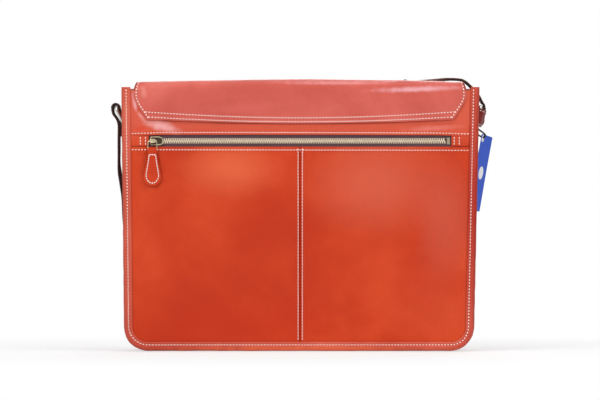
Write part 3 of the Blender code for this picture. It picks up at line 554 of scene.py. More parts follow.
def dressShader(tree, shader, height, bump, **values):
    # a bump from height = its strength and distance, and the shader's other sockets
    node = tree.nodes.new("ShaderNodeBump")
    sockets = [node.inputs[label] for label in ("Strength", "Distance", "Height")]
    feed(tree, sockets, (*bump, height))
    tree.links.new(node.outputs[0], shader.inputs["Normal"])
    for label, value in values.items():
        feed(tree, [shader.inputs[label.replace("_", " ")]], [value])


leather = {
    "cloudStops": (0.3, 0.7, 0.0, 1.0),
    "lightStops": (0.52, 0.86, 0.0, 0.6),
    "pores": 0.14,  # how much darker the grain's valleys are
    "scuffRoughness": 0.16,
    "cloudRoughness": 0.12,
    "smoother": 0.06,
    "coatRoughness": 0.3,
    "smallSpot": 20,  # mm; spots lower than this get a ragged edge
    "ragged": 0.7,
    "softEdge": 0.12,
    "bump": (0.35, 0.0004),
}


def leatherFinish(name, tones, rough=0.36, coat=0.08, shine=0.3, low=None, rubbed=()):
    # tones are the dark, the main and the light colour of the clouds
    # low is (colour, height where it starts, height where it is full): above these heights the leather turns
    # to that paler, pinker colour, a painted sheen for light reflected on the upper part, so it looks deeper
    # towards the bottom
    # the patches are a list of (colour, share, centre, turn, size in mm): soft ovals of painted highlight and
    # painted shade
    material, tree, shader, vector = newMaterial(name)
    dark, main, light = tones
    skin = placeGroup(tree, "leatherGrain", vector)
    colour = mixColours(tree, rampNode(tree, skin["Clouds"], leather["cloudStops"]), dark, main)
    colour = mixColours(tree, rampNode(tree, skin["Clouds"], leather["lightStops"]), colour, light)
    if low:
        height = splitAxes(tree, vector)["Z"]
        colour = mixColours(tree, rampNode(tree, height, (low[1], low[2], 0.0, 1.0)), colour, low[0])
    # patches of painted highlight and painted shade laid over the leather's colour
    for paler, share, centre, turn, size in rubbed:
        edge = leather["ragged" if size[2] < leather["smallSpot"] else "softEdge"]
        spot = placeGroup(tree, "paintedLightSpot", vector, Centre=[part * mm for part in centre],
                          Turn=math.radians(turn), Size=[part * mm for part in size], Ragged=edge)
        colour = mixColours(tree, mathNode(tree, "MULTIPLY", spot["Mask"], share), colour, paler)
    shade = mathNode(tree, "MULTIPLY_ADD", skin["Pores"], leather["pores"], 1 - leather["pores"])
    smooth = rough - leather["smoother"]
    roughness = mathNode(tree, "MULTIPLY_ADD", skin["Scuffs"], leather["scuffRoughness"], smooth)
    roughness = mathNode(tree, "MULTIPLY_ADD", skin["Clouds"], leather["cloudRoughness"], roughness)
    colour = mixColours(tree, 1.0, colour, shade, "MULTIPLY")
    dressShader(tree, shader, skin["Height"], leather["bump"], Base_Color=colour, Roughness=roughness,
                Coat_Weight=coat, Coat_Roughness=leather["coatRoughness"], Specular_IOR_Level=shine)
    return material


def clothFinish(name, dark, light, threads):
    material, tree, shader, vector = newMaterial(name)
    cloth = placeGroup(tree, "clothWeave", vector, Threads=threads)
    dressShader(tree, shader, cloth["Height"], (0.5, 0.0003), Roughness=0.9, Sheen_Weight=0.25,
                Base_Color=mixColours(tree, cloth["Shade"], dark, light))
    return material


def metalFinish(name, bright, dull, patch=240.0, metallic=1.0):
    material, tree, shader, vector = newMaterial(name)
    wear = placeGroup(tree, "metalWear", vector, Patch_Scale=patch)
    dressShader(tree, shader, wear["Height"], (0.08, 0.0002), Roughness=wear["Roughness"], Metallic=metallic,
                Base_Color=mixColours(tree, wear["Tarnish"], bright, dull))
    return material


def fibreFinish(name, main, other, fibres, bump, **values):
    # thread, card and cord: a plain colour with fine fibres, given as their scale, detail and roughness
    material, tree, shader, vector = newMaterial(name)
    fluff = noiseNode(tree, vector, *fibres)
    colour = mixColours(tree, fluff, main, other)
    dressShader(tree, shader, fluff, (bump, 0.0002), Base_Color=colour, **values)
    return material


def cardFinish(name, main, other, rough=0.45):
    return fibreFinish(name, main, other, (420, 5, 0.65), 0.15, Roughness=rough, Specular_IOR_Level=0.2)


leathers = {
    "panelLeather": {
        "tones": ((0.50, 0.030, 0.004), (0.62, 0.055, 0.009), (0.70, 0.092, 0.022)),
        "coat": 0.05,
        "shine": 0.16,
        # painted sheen: above 225 to 262 mm the panels turn paler and pinker
        "low": ((0.64, 0.095, 0.050), 0.225, 0.262),
        # painted highlights beside and below the flap's tail with a deeper red beside them, and broad lighter
        # and darker patches of painted light and shade on the pocket and the upper panel
        "rubbed": (
            ((0.86, 0.44, 0.45), 0.7, (-186.5, -47, 281), 10, (3.4, 30, 17)),
            ((0.86, 0.44, 0.43), 0.75, (-156, -47, 253.5), -15, (28, 30, 8)),
            ((0.86, 0.40, 0.38), 0.5, (-178.5, -47, 264), -52, (11, 30, 3.6)),
            ((0.66, 0.035, 0.010), 0.4, (-180, -47, 250), 10, (10, 30, 6)),
            ((0.78, 0.150, 0.060), 0.5, (-80, -47, 205), 0, (75, 40, 42)),
            ((0.52, 0.028, 0.004), 0.6, (-60, -47, 30), 0, (150, 40, 42)),
            ((0.55, 0.045, 0.015), 0.5, (150, -47, 60), 0, (60, 40, 70)),
            ((0.84, 0.30, 0.26), 0.35, (150, -47, 251), 3, (45, 30, 5)),
            ((0.66, 0.125, 0.065), 0.6, (85, -47, 190), 0, (100, 30, 75)),
            ((0.62, 0.110, 0.060), 0.5, (165, -47, 150), 0, (45, 30, 90)),
        ),
    },
    "flapLeather": {
        # paler and pinker tones than the panels': painted sheen of the light reflected on the flap
        "tones": ((0.52, 0.070, 0.045), (0.64, 0.108, 0.078), (0.70, 0.165, 0.125)),
        "rough": 0.32,
        "coat": 0.16,
        # painted highlights along the flap's top and the tail's left end, a lighter patch of painted light
        # across the tail, and the front painted back to the deeper leather colour without that sheen
        "rubbed": (
            ((0.88, 0.48, 0.52), 0.65, (132, -48, 295), 2, (66, 14, 4.5)),
            ((0.84, 0.36, 0.36), 0.5, (40, -46, 302), 0, (90, 14, 3.4)),
            ((0.80, 0.30, 0.24), 0.5, (-176, -48, 291), 8, (5, 14, 9)),
            ((0.70, 0.13, 0.10), 0.4, (-60, -48, 275), 4, (60, 14, 9)),
            ((0.58, 0.070, 0.028), 0.9, (0, 66, 170), 0, (420, 44, 260)),
        ),
    },
    "rimLeather": {
        # pinkish tones: painted sheen of light on the binding's round roll
        "tones": ((0.48, 0.055, 0.028), (0.62, 0.095, 0.052), (0.70, 0.16, 0.10)),
        "coat": 0.06,
        "shine": 0.25,
        # the right side painted deeper and darker as painted shade, and the bottom roll a bright painted
        # highlight
        "rubbed": (
            ((0.42, 0.014, 0.002), 1.0, (215, -47, 150), 0, (60, 60, 230)),
            ((0.86, 0.170, 0.055), 0.85, (0, -47, -1), 0, (230, 60, 9)),
        ),
    },
    "gussetLeather": {
        "tones": ((0.36, 0.040, 0.014), (0.48, 0.062, 0.022), (0.56, 0.09, 0.035)),
        "rough": 0.42,
    },
    # the tail's dark cut edge: dye, and a painted shadow line under the tail's edge
    "edgeDyeAndShadow": {
        "tones": ((0.20, 0.020, 0.010), (0.28, 0.030, 0.014), (0.36, 0.05, 0.03)),
        "rough": 0.5,
        "coat": 0.0,
    },
    # painted shade: the needle holes' dark hollows, drawn as flat dots
    "needleHoleShade": {
        "tones": ((0.10, 0.012, 0.006), (0.16, 0.020, 0.010), (0.20, 0.03, 0.015)),
        "rough": 0.7,
        "coat": 0.0,
    },
    "strapFace": {
        "tones": ((0.045, 0.010, 0.008), (0.075, 0.014, 0.011), (0.12, 0.024, 0.02)),
        "rough": 0.45,
        "coat": 0.0,
        "shine": 0.12,
        # painted light: the band round the right ring painted a lighter burgundy where light falls on it
        "rubbed": (((0.24, 0.026, 0.024), 1.0, (206, 0, 264), 0, (22, 60, 22)),),
    },
    "strapBack": {
        # near black: partly the edges' own black paint, partly painted shade of the strap's underside
        "tones": ((0.020, 0.009, 0.007), (0.035, 0.015, 0.011), (0.07, 0.035, 0.025)),
        "rough": 0.5,
        "coat": 0.05,
        "shine": 0.2,
        # the tan flesh side shows only under the arch over the flap, painted there where light reaches the
        # underside
        "rubbed": (((0.45, 0.24, 0.13), 0.6, (154, 36, 305), 0, (18, 40, 5)),),
    },
}
otherFinishes = (
    (clothFinish, "zipCloth", (0.045, 0.022, 0.028), (0.14, 0.075, 0.09), {"threads": 5200.0}),
    (clothFinish, "liningCloth", (0.20, 0.14, 0.09), (0.36, 0.27, 0.18), {"threads": 2600.0}),
    # brass colour with painted reflection: the teeth are near white and hardly metallic, standing for their
    # bright glints
    (metalFinish, "zipBrass", (1.0, 0.87, 0.64), (0.88, 0.68, 0.44), {"patch": 900.0, "metallic": 0.3}),
    (metalFinish, "agedBrass", (0.16, 0.12, 0.078), (0.036, 0.028, 0.019), {"patch": 1500.0}),
    (metalFinish, "wornBrass", (0.80, 0.70, 0.46), (0.36, 0.30, 0.19), {"patch": 1100.0}),
    (metalFinish, "ringSteel", (0.74, 0.72, 0.69), (0.50, 0.47, 0.44), {}),
    (cardFinish, "tagCard", (0.018, 0.080, 0.52), (0.028, 0.10, 0.60), {}),
    (cardFinish, "whiteCard", (0.80, 0.81, 0.83), (0.90, 0.90, 0.90), {}),
    (cardFinish, "greyBoard", (0.24, 0.23, 0.21), (0.36, 0.35, 0.32), {"rough": 0.85}),
    (cardFinish, "blackCord", (0.006, 0.006, 0.007), (0.014, 0.014, 0.014), {"rough": 0.4}),
    (fibreFinish, "creamThread", (0.94, 0.86, 0.75), (1.0, 1.0, 0.95),
     {"fibres": (1400, 3), "bump": 0.5, "Roughness": 0.7, "Sheen_Weight": 0.3}),
)
for name, look in leathers.items():
    finishes[name] = leatherFinish(name, **look)
for makeFinish, name, first, second, look in otherFinishes:
    finishes[name] = makeFinish(name, first, second, **look)
print("finishes ready", len(finishes))
setUpStudio()

# the bag's own outline, seen from the back

outline = {
    "halfWidth": 200 * mm,
    "height": 296 * mm,
    "corner": 27 * mm,
    "spreadRight": 0.0135,  # the sides stand out at the top and draw in towards the bottom
    "spreadLeft": 0.008,
    "leanRight": 0.033,
    "leanLeft": 0.016,
    "upright": 0.2,  # a height where the sides run straight
    "bottomSteps": 24,
}


def halfWidthAt(height, inset):
    corner = outline["corner"]
    if height >= corner:
        return outline["halfWidth"] - inset
    reach = math.sqrt(max((corner - inset) ** 2 - (corner - height) ** 2, 0.0))
    return outline["halfWidth"] - corner + reach


def rimDistance(x, z, inset):
    # how far a place is from a line inside the bag's sides and bottom
    return min(halfWidthAt(max(z, inset), inset) - abs(x), z - inset)


def settle(x, y, z):
    # the sides' lean, the same for every piece that is sewn into the bag
    drop = 1 - clampShare(z / outline["height"])
    side = "Right" if x > 0 else "Left"
    return Vector((x * (1 + outline["spread" + side] - outline["lean" + side] * drop), y, z))


def edgeLine(cornerSteps=14, top=outline["height"], sideSteps=12):
    # points down the left side, round the corners and up the right, with outward directions
    corner = outline["corner"]
    half = outline["halfWidth"]
    left, down, right = (Vector(out) for out in ((-1, 0, 0), (0, 0, -1), (1, 0, 0)))
    line = [(Vector((-half, 0, height)), left) for height in spread(top, corner, sideSteps)[:-1]]
    for side in (-1, 1):
        for angle in spread(0, math.pi / 2, cornerSteps):
            turn = angle if side > 0 else math.pi / 2 - angle
            out = Vector((side * math.sin(turn), 0, -math.cos(turn)))
            line.append((Vector((side * (half - corner), 0, corner)) + out * corner, out))
        if side < 0:
            flat = spread(corner - half, half - corner, outline["bottomSteps"])[1:-1]
            line += [(Vector((x, 0, 0)), down) for x in flat]
    return line + [(Vector((half, 0, height)), right) for height in spread(corner, top, sideSteps)[1:]]


# back of the bag: the pocket's two halves, the panel above the zip and the bindings

backPanels = {
    "face": 46.3 * mm,  # depth of the leather's outer face
    "thickness": 1.6 * mm,
    "softEdge": 0.35 * mm,
    "inset": 5 * mm,  # how far the sheets stop from the bag's edge, under the binding
    "visible": 10 * mm,  # where the binding's inner edge lies
    "sewnTo": 10.5 * mm,  # how near the cross rows come to the edge
    "centreGap": 0.2 * mm,
    "pocketTop": 230.3 * mm,
    "pocketBottom": 5.2 * mm,
    "puff": 2.0 * mm,
    "wave": 0.9 * mm,
    "ripple": 0.35 * mm,
    "creases": 1.1 * mm,
    "creaseTop": 60 * mm,
    "seamRidge": 0.55 * mm,
    "seamTurn": 0.75 * mm,
    "pullRoom": 1.15 * mm,
    "hem": 0.45 * mm,
    "seamRows": (-2.1 * mm, 2.7 * mm),
    "seamRowEnds": (12 * mm, 229 * mm),
    "topRow": (226.9 * mm, 226.1 * mm),  # height at the left and the right end
    "topRowGap": 1.2 * mm,
    "upperBottom": 243.2 * mm,
    "upperTop": 293.5 * mm,
    "upperRow": 2.6 * mm,
    "upperHem": 0.5 * mm,
    "upperSwell": 0.9 * mm,
    "upperSwellHeight": 252 * mm,
}


def pocketFace(x, z):
    # how far the pocket's leather stands out at a place
    fromSeam = abs(x)
    fromTop = backPanels["pocketTop"] - z
    fromRim = rimDistance(x, z, backPanels["visible"])
    inside = ease(fromRim, 0.5 * mm, 9 * mm)
    rise = backPanels["puff"] * ease(fromSeam, 4 * mm, 60 * mm) * ease(fromRim, -1 * mm, 55 * mm)
    rise *= 0.35 + 0.65 * ease(fromTop, 4 * mm, 70 * mm)
    wave = softNoise((x, 0, z), 0.085, 3.1) * ease(fromSeam, 5 * mm, 40 * mm)
    ripple = softNoise((x * 1.6, 0, z), 0.03, 7.7) * ease(fromSeam, 6 * mm, 20 * mm)
    rise += (backPanels["wave"] * wave + backPanels["ripple"] * ripple) * inside
    # creases that run up from the lower binding
    crease = max(0.0, softNoise((x, 0, z * 0.28), 0.016, 11.0)) ** 2
    rise += backPanels["creases"] * crease * ease(backPanels["creaseTop"] - z, 0.0, 45 * mm) * inside
    # ridge beside the middle seam, and its turned edge
    rise += backPanels["seamRidge"] * ease(fromSeam, 0.0, 1.1 * mm) * (1 - ease(fromSeam, 3.6 * mm, 6.5 * mm))
    rise -= backPanels["seamTurn"] * (1 - ease(fromSeam, 0.0, 1.3 * mm))
    # the right end lies flatter below the zip, room for the pull
    flatter = ease(x, 90 * mm, 135 * mm) * (1 - ease(fromTop, 42 * mm, 100 * mm))
    rise -= backPanels["pullRoom"] * flatter * inside
    # hem along the zip
    return rise + backPanels["hem"] * (1 - ease(fromTop, 3.4 * mm, 6.5 * mm)) * inside


def pocketPlace(x, z):
    return settle(x, -(backPanels["face"] + pocketFace(x, z)), z)


def buildPocketPanels():
    low, high, near = (backPanels[key] for key in ("pocketBottom", "pocketTop", "centreGap"))
    for label, side in (("Left", -1), ("Right", 1)):
        def place(u, v):
            z = high - (high - low) * (1 - v) ** 1.35
            far = halfWidthAt(z, backPanels["inset"])
            return pocketPlace(side * (near + (far - near) * u ** 1.5), z)

        makeSheet("pocketPanel" + label, "pocket_panel_" + label.lower(), "panelLeather", (72, 90, place),
                  toBack, backPanels["thickness"], backPanels["softEdge"])
    heights = spread(*backPanels["seamRowEnds"], 60)
    rows = [[pocketPlace(x, z) for z in heights] for x in backPanels["seamRows"]]
    sewLine("seamStitches", rows, toBack, "bag")
    reach = halfWidthAt(outline["upright"], backPanels["sewnTo"])
    spots = zip(spread(-reach, reach, 120), spread(*backPanels["topRow"], 120))
    path = [pocketPlace(x, z) for x, z in spots if abs(x) > backPanels["topRowGap"]]
    sewLine("pocketTopStitches", [path], toBack, "bag")


def upperEdge(x):
    # height of the upper panel's lower edge: highest near the left end, lowest at the right
    wave = 0.5 * mm * math.cos((x + 60 * mm) / 0.12)
    return backPanels["upperBottom"] + wave - 0.9 * mm * ease(abs(x), 150 * mm, 190 * mm)


def upperFace(x, z):
    fromRim = halfWidthAt(outline["upright"], backPanels["visible"]) - abs(x)
    hem = 1 - ease(z - upperEdge(x), 3.5 * mm, 7 * mm)
    rise = backPanels["upperHem"] * hem * ease(fromRim, 0.3 * mm, 5 * mm)
    # the sheet bends out beside and below the flap's tail
    swell = backPanels["upperSwell"] * hump(z, backPanels["upperSwellHeight"], 10 * mm)
    rise += swell * ease(fromRim, 1 * mm, 22 * mm) * (1 - ease(z, 254 * mm, 257 * mm))
    return rise + 0.54 * mm * hump(fromRim, 5 * mm, 4 * mm) * ease(z, 256 * mm, 268 * mm)


def upperPlace(x, z):
    return settle(x, -(backPanels["face"] + upperFace(x, z)), z)


def buildUpperPanel():
    far = halfWidthAt(outline["upright"], backPanels["inset"])

    def place(u, v):
        swing = 2 * u - 1
        x = far * math.copysign(1 - (1 - abs(swing)) ** 1.3, swing)
        low = upperEdge(x)
        return upperPlace(x, low + (backPanels["upperTop"] - low) * v ** 1.3)

    makeSheet("upperPanel", "back_upper_panel", "panelLeather", (140, 40, place), toBack,
              backPanels["thickness"], backPanels["softEdge"])
    reach = halfWidthAt(outline["upright"], backPanels["sewnTo"])
    row = [upperPlace(x, upperEdge(x) + backPanels["upperRow"]) for x in spread(-reach, reach, 160)]
    sewLine("upperStitches", [row], toBack, "bag")


bindings = {
    "profile": (  # inset from the bag's edge and depth, in mm
        (9.6, 46.62), (10.25, 46.75), (10.35, 47.3), (9.7, 47.95), (8.4, 48.35), (7.2, 48.3), (6.3, 48.05),
        (5.6, 47.85), (4.9, 48.05), (4.0, 48.25), (3.0, 48.1), (1.9, 47.4), (1.0, 46.1), (0.35, 44.4),
        (0.1, 42.4), (0.3, 40.3), (0.9, 38.6), (1.9, 37.3), (3.1, 36.7), (4.6, 36.55), (6.0, 36.6),
        (6.5, 36.9), (6.5, 37.7), (6.1, 38.1), (2.6, 38.1), (2.4, 38.4), (2.4, 46.3), (2.7, 46.6),
    ),
    "widest": 10.35 * mm,
    "wider": 1.4 * mm,  # the roll is wider at the right and the bottom
    "top": 297.5 * mm,
    "rowTop": 295.5 * mm,
    "rowInset": 5.6 * mm,
    "rowDepth": 47.9 * mm,
    "unevenness": 0.32 * mm,
    "faceFrom": 46,  # mm; the profile's outer face lies beyond this depth
    "faceWave": 0.18 * mm,
}


def bindingInset(inset, out):
    # inset and its growth where the roll is wider
    share = min(max(out.x, -out.z, 0.0), 1.0)
    return inset + bindings["wider"] * share * math.sin(math.pi * min(inset / bindings["widest"], 1.0))


def buildBinding(label, side, node):
    line = edgeLine(cornerSteps=20, sideSteps=70, top=bindings["top"])
    profile = bindings["profile"]

    def place(u, v):
        point, out = line[round(u * (len(line) - 1))]
        inset, depth = profile[round(v * len(profile)) % len(profile)]
        spot = point - out * bindingInset(inset * mm, out)
        level = (spot.x, 0, spot.z)
        squeeze = softNoise((spot.x, side * 0.05, spot.z), 0.011, 5.0) + 0.5 * softNoise(level, 0.004, 9.0)
        wave = bindings["faceWave"] * softNoise(level, 0.006, 2.0) * ease(inset, 5.0, 7.0)
        spot += out * bindings["unevenness"] * squeeze * ease(6.0 - inset, 0.0, 4.0)
        return settle(spot.x, side * (depth * mm + (wave if depth > bindings["faceFrom"] else 0.0)), spot.z)

    shape = closeShape(mappedGrid(len(line) - 1, len(profile), place))
    makeObject(label, shape, "rimLeather", "bag", [node], 55)
    path = []
    for point, out in edgeLine(top=bindings["rowTop"]):
        point = point - out * bindingInset(bindings["rowInset"], out)
        path.append(settle(point.x, side * bindings["rowDepth"], point.z))
    sewLine(label + "Stitches", [path], (0, side, 0), "bag")


buildPocketPanels()
buildUpperPanel()
buildBinding("backBinding", -1, "back_rim_binding")
buildBinding("frontBinding", 1, "front_rim_binding")
print("back panels and bindings done")

# flap: a tail sewn to the back, a top and a front, all one leather

flap = {
    "halfWidth": 184.3 * mm,
    "thickness": 1.8 * mm,
    "softEdge": 0.45 * mm,
    "foldHeight": 302 * mm,
    "crown": 3.2 * mm,  # how much the top stands higher in the middle
    "backDepth": 47.55 * mm,
    "frontDepth": 50.5 * mm,
    "bend": 9 * mm,  # radius of the folds
    "tailLow": 255.9 * mm,
    "tailRises": (0, 0.5, 1.4, 2.6, 4.2, 6, 8.5, 12, 16, 20, 24, 28, 32),  # mm, the rows up the tail
    "tailBow": 4.6 * mm,  # the tail's lower edge hangs lower in the middle
    "bowReach": 34 * mm,
    "tailTaper": 11.8 * mm,
    "tailBulge": 5 * mm,
    "frontLow": 55 * mm,
    "frontCorner": 28 * mm,
    "splitDepth": 4 * mm,
    "levelDepth": 20 * mm,  # nearer than this to the middle the flap is its top
    "darkFrom": 40 * mm,
    "darkEdge": 0.7 * mm,
    "darkEnd": 0.5 * mm,
    "rows": ((2.4 * mm, 1.2 * mm), (6.9 * mm, 3.2 * mm)),  # above the tail's edge, and their rise outwards
    "endRow": 0.9855,  # of the tail's half width
    "rowShare": 0.985,
    "edgeRow": 4 * mm,
    "backFold": ("bag", "flap_top", (0, -0.0474, 0.2965), (0, -0.038, 0.306)),
    "frontFold": ("flap_top", "flap_front", (0, 0.042, 0.306), (0, 0.0514, 0.2965)),
}


def flapPath():
    # section across the flap in depth and height, from the tail's edge to the front's edge
    back, front, bend = -flap["backDepth"], flap["frontDepth"], flap["bend"]
    top = flap["foldHeight"] + 0.3 * mm
    path = [Vector((back, flap["tailLow"] + rise * mm)) for rise in flap["tailRises"]]
    path += arc((back + bend, top - bend), bend, 180, -90, 8)
    path += [Vector((depth, top)) for depth in spread(back + bend, front - bend, 12)[1:-1]]
    path += arc((front - bend, top - bend), bend, 90, -90, 8)
    return path + [Vector((front, height)) for height in spread(top - bend, flap["frontLow"], 40)[1:]]


def flapHalfWidth(depth, height):
    # the tail narrows downward with bowed ends; the front has round lower corners
    if depth < -flap["levelDepth"]:
        share = clampShare((height - flap["tailLow"]) / (flap["foldHeight"] - flap["tailLow"]))
        bulge = flap["tailBulge"] * math.sin(math.pi * share ** 1.5)
        return flap["halfWidth"] - flap["tailTaper"] * (1 - share) ** 1.6 + bulge
    if depth > flap["levelDepth"]:
        return roundedHalf(flap["halfWidth"], flap["frontCorner"], height - flap["frontLow"])
    return flap["halfWidth"]


def flapLift(share, depth, height):
    # how far the leather stands off its flat section; share runs from -1 to 1 across it
    x = share * flap["halfWidth"]
    if depth < 0 and height < flap["foldHeight"] - 2 * mm:
        fromEdge = height - flap["tailLow"]
        lift = 1.5 * mm * ease(fromEdge, 9 * mm, 26 * mm) * (1 - ease(abs(share), 0.93, 1.0))
        lift += 0.8 * mm * softNoise((x, 0, height * 1.6), 0.07, 4.0) * ease(fromEdge, 8 * mm, 22 * mm)
        return lift + 0.35 * mm * (1 - ease(fromEdge, 4.4 * mm, 7 * mm)) * ease(fromEdge, 0.0, 1.0 * mm)
    if depth > 0 and height < flap["foldHeight"] - 12 * mm:
        fromEdge = min(height - flap["frontLow"], (1 - abs(share)) * flap["halfWidth"])
        lift = 1.2 * mm * softNoise((x, 0.3, height), 0.12, 8.0) * ease(fromEdge, 6 * mm, 50 * mm)
        return lift + 1.0 * mm * ease(fromEdge, 7 * mm, 60 * mm)
    return 0.5 * mm * softNoise((x, depth, 0.0), 0.06, 6.0)


def flapPlace(share, number, path, aside=0.0):
    # a point of the flap's middle layer, aside is how far out of it
    here = path[number]
    ahead = aheadAt(path, number)
    lift = flapLift(share, here.x, here.y) + aside
    depth = here.x - ahead.y * lift
    height = here.y + ahead.x * lift
    rising = ease(height, flap["foldHeight"] - 26 * mm, flap["foldHeight"])
    height += (flap["crown"] * (1 - share * share) + 0.3 * mm) * rising
    if here.x < -flap["levelDepth"]:
        bow = 1 - ease(here.y, flap["tailLow"], flap["tailLow"] + flap["bowReach"])
        height += flap["tailBow"] * share * share * bow
    return Vector((flapHalfWidth(here.x, here.y) * share, depth, height))


def bothFaces(v, layers):
    # along a path on one face and back on the other: the step's number and the face's sign
    number = round(v * 2 * layers) % (2 * layers)
    return (number, 1) if number < layers else (2 * layers - 1 - number, -1)


def buildFlap(path):
    def place(u, v):
        number, facing = bothFaces(v, len(path))
        aside = facing * flap["thickness"] / 2
        swing = 2 * u - 1
        atEnd = abs(swing) > 0.999
        if atEnd:
            aside *= 0.45
        elif number in (0, len(path) - 1):
            aside *= 0.5
        spot = flapPlace(math.copysign(1 - (1 - abs(swing)) ** 1.25, swing), number, path, aside)
        if atEnd:
            spot.x += math.copysign(flap["softEdge"], swing)
        return spot

    whole = closeShape(mappedGrid(110, 2 * len(path), place))
    for name, keepBack, nodes, body in (
        ("flapTail", True, ["flap_tail", "flap_top"], flap["backFold"]),
        ("flapFront", False, ["flap_front"], flap["frontFold"]),
    ):
        part = whole.copy()
        bmesh.ops.bisect_plane(
            part, geom=part.verts[:] + part.edges[:] + part.faces[:], plane_co=(0, flap["splitDepth"], 0),
            plane_no=toFront, clear_outer=keepBack, clear_inner=not keepBack
        )
        bmesh.ops.holes_fill(part, edges=openRim(part), sides=0)
        piece = makeObject(name, part, "flapLeather", stands=nodes)
        if keepBack:
            dyeAndShadeEdge(piece)
        carry(piece, body)
    whole.free()


def dyeAndShadeEdge(piece):
    # the tail's cut edge is darker: partly its dye, partly a painted shadow line under the tail's edge
    piece.data.materials.append(finishes["edgeDyeAndShadow"])
    for face in piece.data.polygons:
        x, y, z = face.center
        bow = flap["tailBow"] * (x / flap["halfWidth"]) ** 2
        atEdge = z < flap["tailLow"] + bow + flap["darkEdge"]
        atEnd = flapHalfWidth(y, z) - abs(x) < flap["darkEnd"]
        if y < -flap["darkFrom"] and (atEdge or atEnd):
            face.material_index = 1


def sewFlap(path):
    half = flap["thickness"] / 2
    spots = spread(-1, 1, 150)

    def at(share, rise):
        # point on the tail's outer face at a height above its edge along the path
        height = flap["tailLow"] + rise
        for number, (here, after) in enumerate(zip(path, path[1:])):
            if here.y <= height <= after.y:
                low, high = (flapPlace(share, step, path, half) for step in (number, number + 1))
                return low.lerp(high, (height - here.y) / (after.y - here.y))

    def foldOut(side):
        # the leather faces back or front, and up where it bends over
        def outwards(point):
            if point.z > 0.300:
                return (0, 0.1 * side, 1)
            return (0, side, max(0.0, (point.z - 0.290) / 0.012))

        return outwards

    inner = [share * flap["rowShare"] for share in spots]
    rows = [[at(share, low + rise * share ** 2) for share in inner] for low, rise in flap["rows"]]
    sewLine("tailStitches", rows, toBack, "bag")
    above = flap["tailLow"] + 1 * mm
    back = [number for number, spot in enumerate(path) if spot.x < flap["splitDepth"] and spot.y > above]
    for label, side in (("Left", -1), ("Right", 1)):
        points = [flapPlace(side * flap["endRow"], number, path, half) for number in back]
        sewLine("tailEndStitches" + label, [points], foldOut(-1), flap["backFold"])
    left = []
    for number, spot in enumerate(path):
        if spot.x > flap["splitDepth"] and spot.y > flap["frontLow"] + flap["edgeRow"]:
            share = 1 - flap["edgeRow"] / flapHalfWidth(spot.x, spot.y)
            left.append(flapPlace(-share, number, path, half))
    lowReach = 0.85 * (1 - 5 * mm / (flap["halfWidth"] - flap["frontCorner"]))
    low = [flapPlace(share * lowReach, len(path) - 4, path, half) for share in spots]
    right = [Vector((-point.x, point.y, point.z)) for point in reversed(left)]
    sewLine("flapEdgeStitches", [left + low + right], foldOut(1), flap["frontFold"])


flapSection = flapPath()
buildFlap(flapSection)
sewFlap(flapSection)
print("flap done")

# zip of the back pocket

zipper = {
    "height": 236.8 * mm,
    "halfLength": 169 * mm,
    "pitch": 2.5 * mm,
    "toothWidth": 1.02 * mm,
    "toothBevel": 0.25 * mm,
    "reach": 0.45 * mm,  # past the middle
    "root": 3.0 * mm,
    "slant": 4,  # degrees, each row's teeth lean a little
    "teethFace": 46.25 * mm,
    "teethBack": 43.75 * mm,
    "firstTooth": -160.6 * mm,
    "lastRoom": 5.5 * mm,  # free of teeth at the bottom stop's end
    "tapeHalf": 185.6 * mm,
    "tapeEdges": (0.8 * mm, 17.2 * mm),  # from the zip's middle
    "tapeFace": 44.25 * mm,
    "tapeCord": (3.0 * mm, 1.1 * mm, 0.15 * mm),  # place, width and rise of the cord under the teeth
    "tapeThickness": 0.5 * mm,
    "tabGap": 0.4 * mm,
    "tabReach": 189.6 * mm,
    "tabLow": 230.75 * mm,
    "tabHeight": 12.1 * mm,
    "tabFace": 46.1 * mm,
    "tabThickness": 1.3 * mm,
    "tabRows": {-1: (173.3 * mm, 179.0 * mm), 1: (172.6 * mm, 178.3 * mm)},
    "tabRowEnds": (232 * mm, 241.6 * mm),
    "tabRowFace": 46.65 * mm,
}


def buildTeeth():
    pitch = zipper["pitch"]
    low, high = -zipper["reach"], zipper["root"]
    depth = zipper["teethFace"] - zipper["teethBack"]
    for label, side in (("Upper", 1), ("Lower", -1)):
        shape = bmesh.new()
        middle = (0, -(zipper["teethBack"] + depth / 2), (low + high) / 2 * side)
        lean = Matrix.Rotation(math.radians(zipper["slant"] * side), 4, "Y")
        size = Matrix.Diagonal((zipper["toothWidth"], depth, high - low, 1))
        bmesh.ops.create_cube(shape, size=1, matrix=Matrix.Translation(middle) @ lean @ size)
        bmesh.ops.bevel(shape, geom=shape.edges[:], offset=zipper["toothBevel"], segments=2, profile=0.5,
                        affect="EDGES", material=-1)
        centre = zipper["firstTooth"] + (pitch / 2 if side < 0 else 0.0)
        bmesh.ops.translate(shape, verts=shape.verts, vec=(centre, 0, zipper["height"]))
        made = 1
        wanted = int((zipper["halfLength"] - zipper["lastRoom"] - centre) / pitch) + 1
        while made < wanted:
            # the row is doubled until it is long enough
            more = min(made, wanted - made)
            edge = centre + (more - 0.5) * pitch
            faces = [face for face in shape.faces if face.calc_center_median().x < edge]
            copied = bmesh.ops.duplicate(shape, geom=faces)["geom"]
            moved = [item for item in copied if isinstance(item, bmesh.types.BMVert)]
            bmesh.ops.translate(shape, verts=moved, vec=(made * pitch, 0, 0))
            made += more
        makeObject("zipTeeth" + label, shape, "zipBrass", "bag", ["zip_teeth_" + label.lower()])


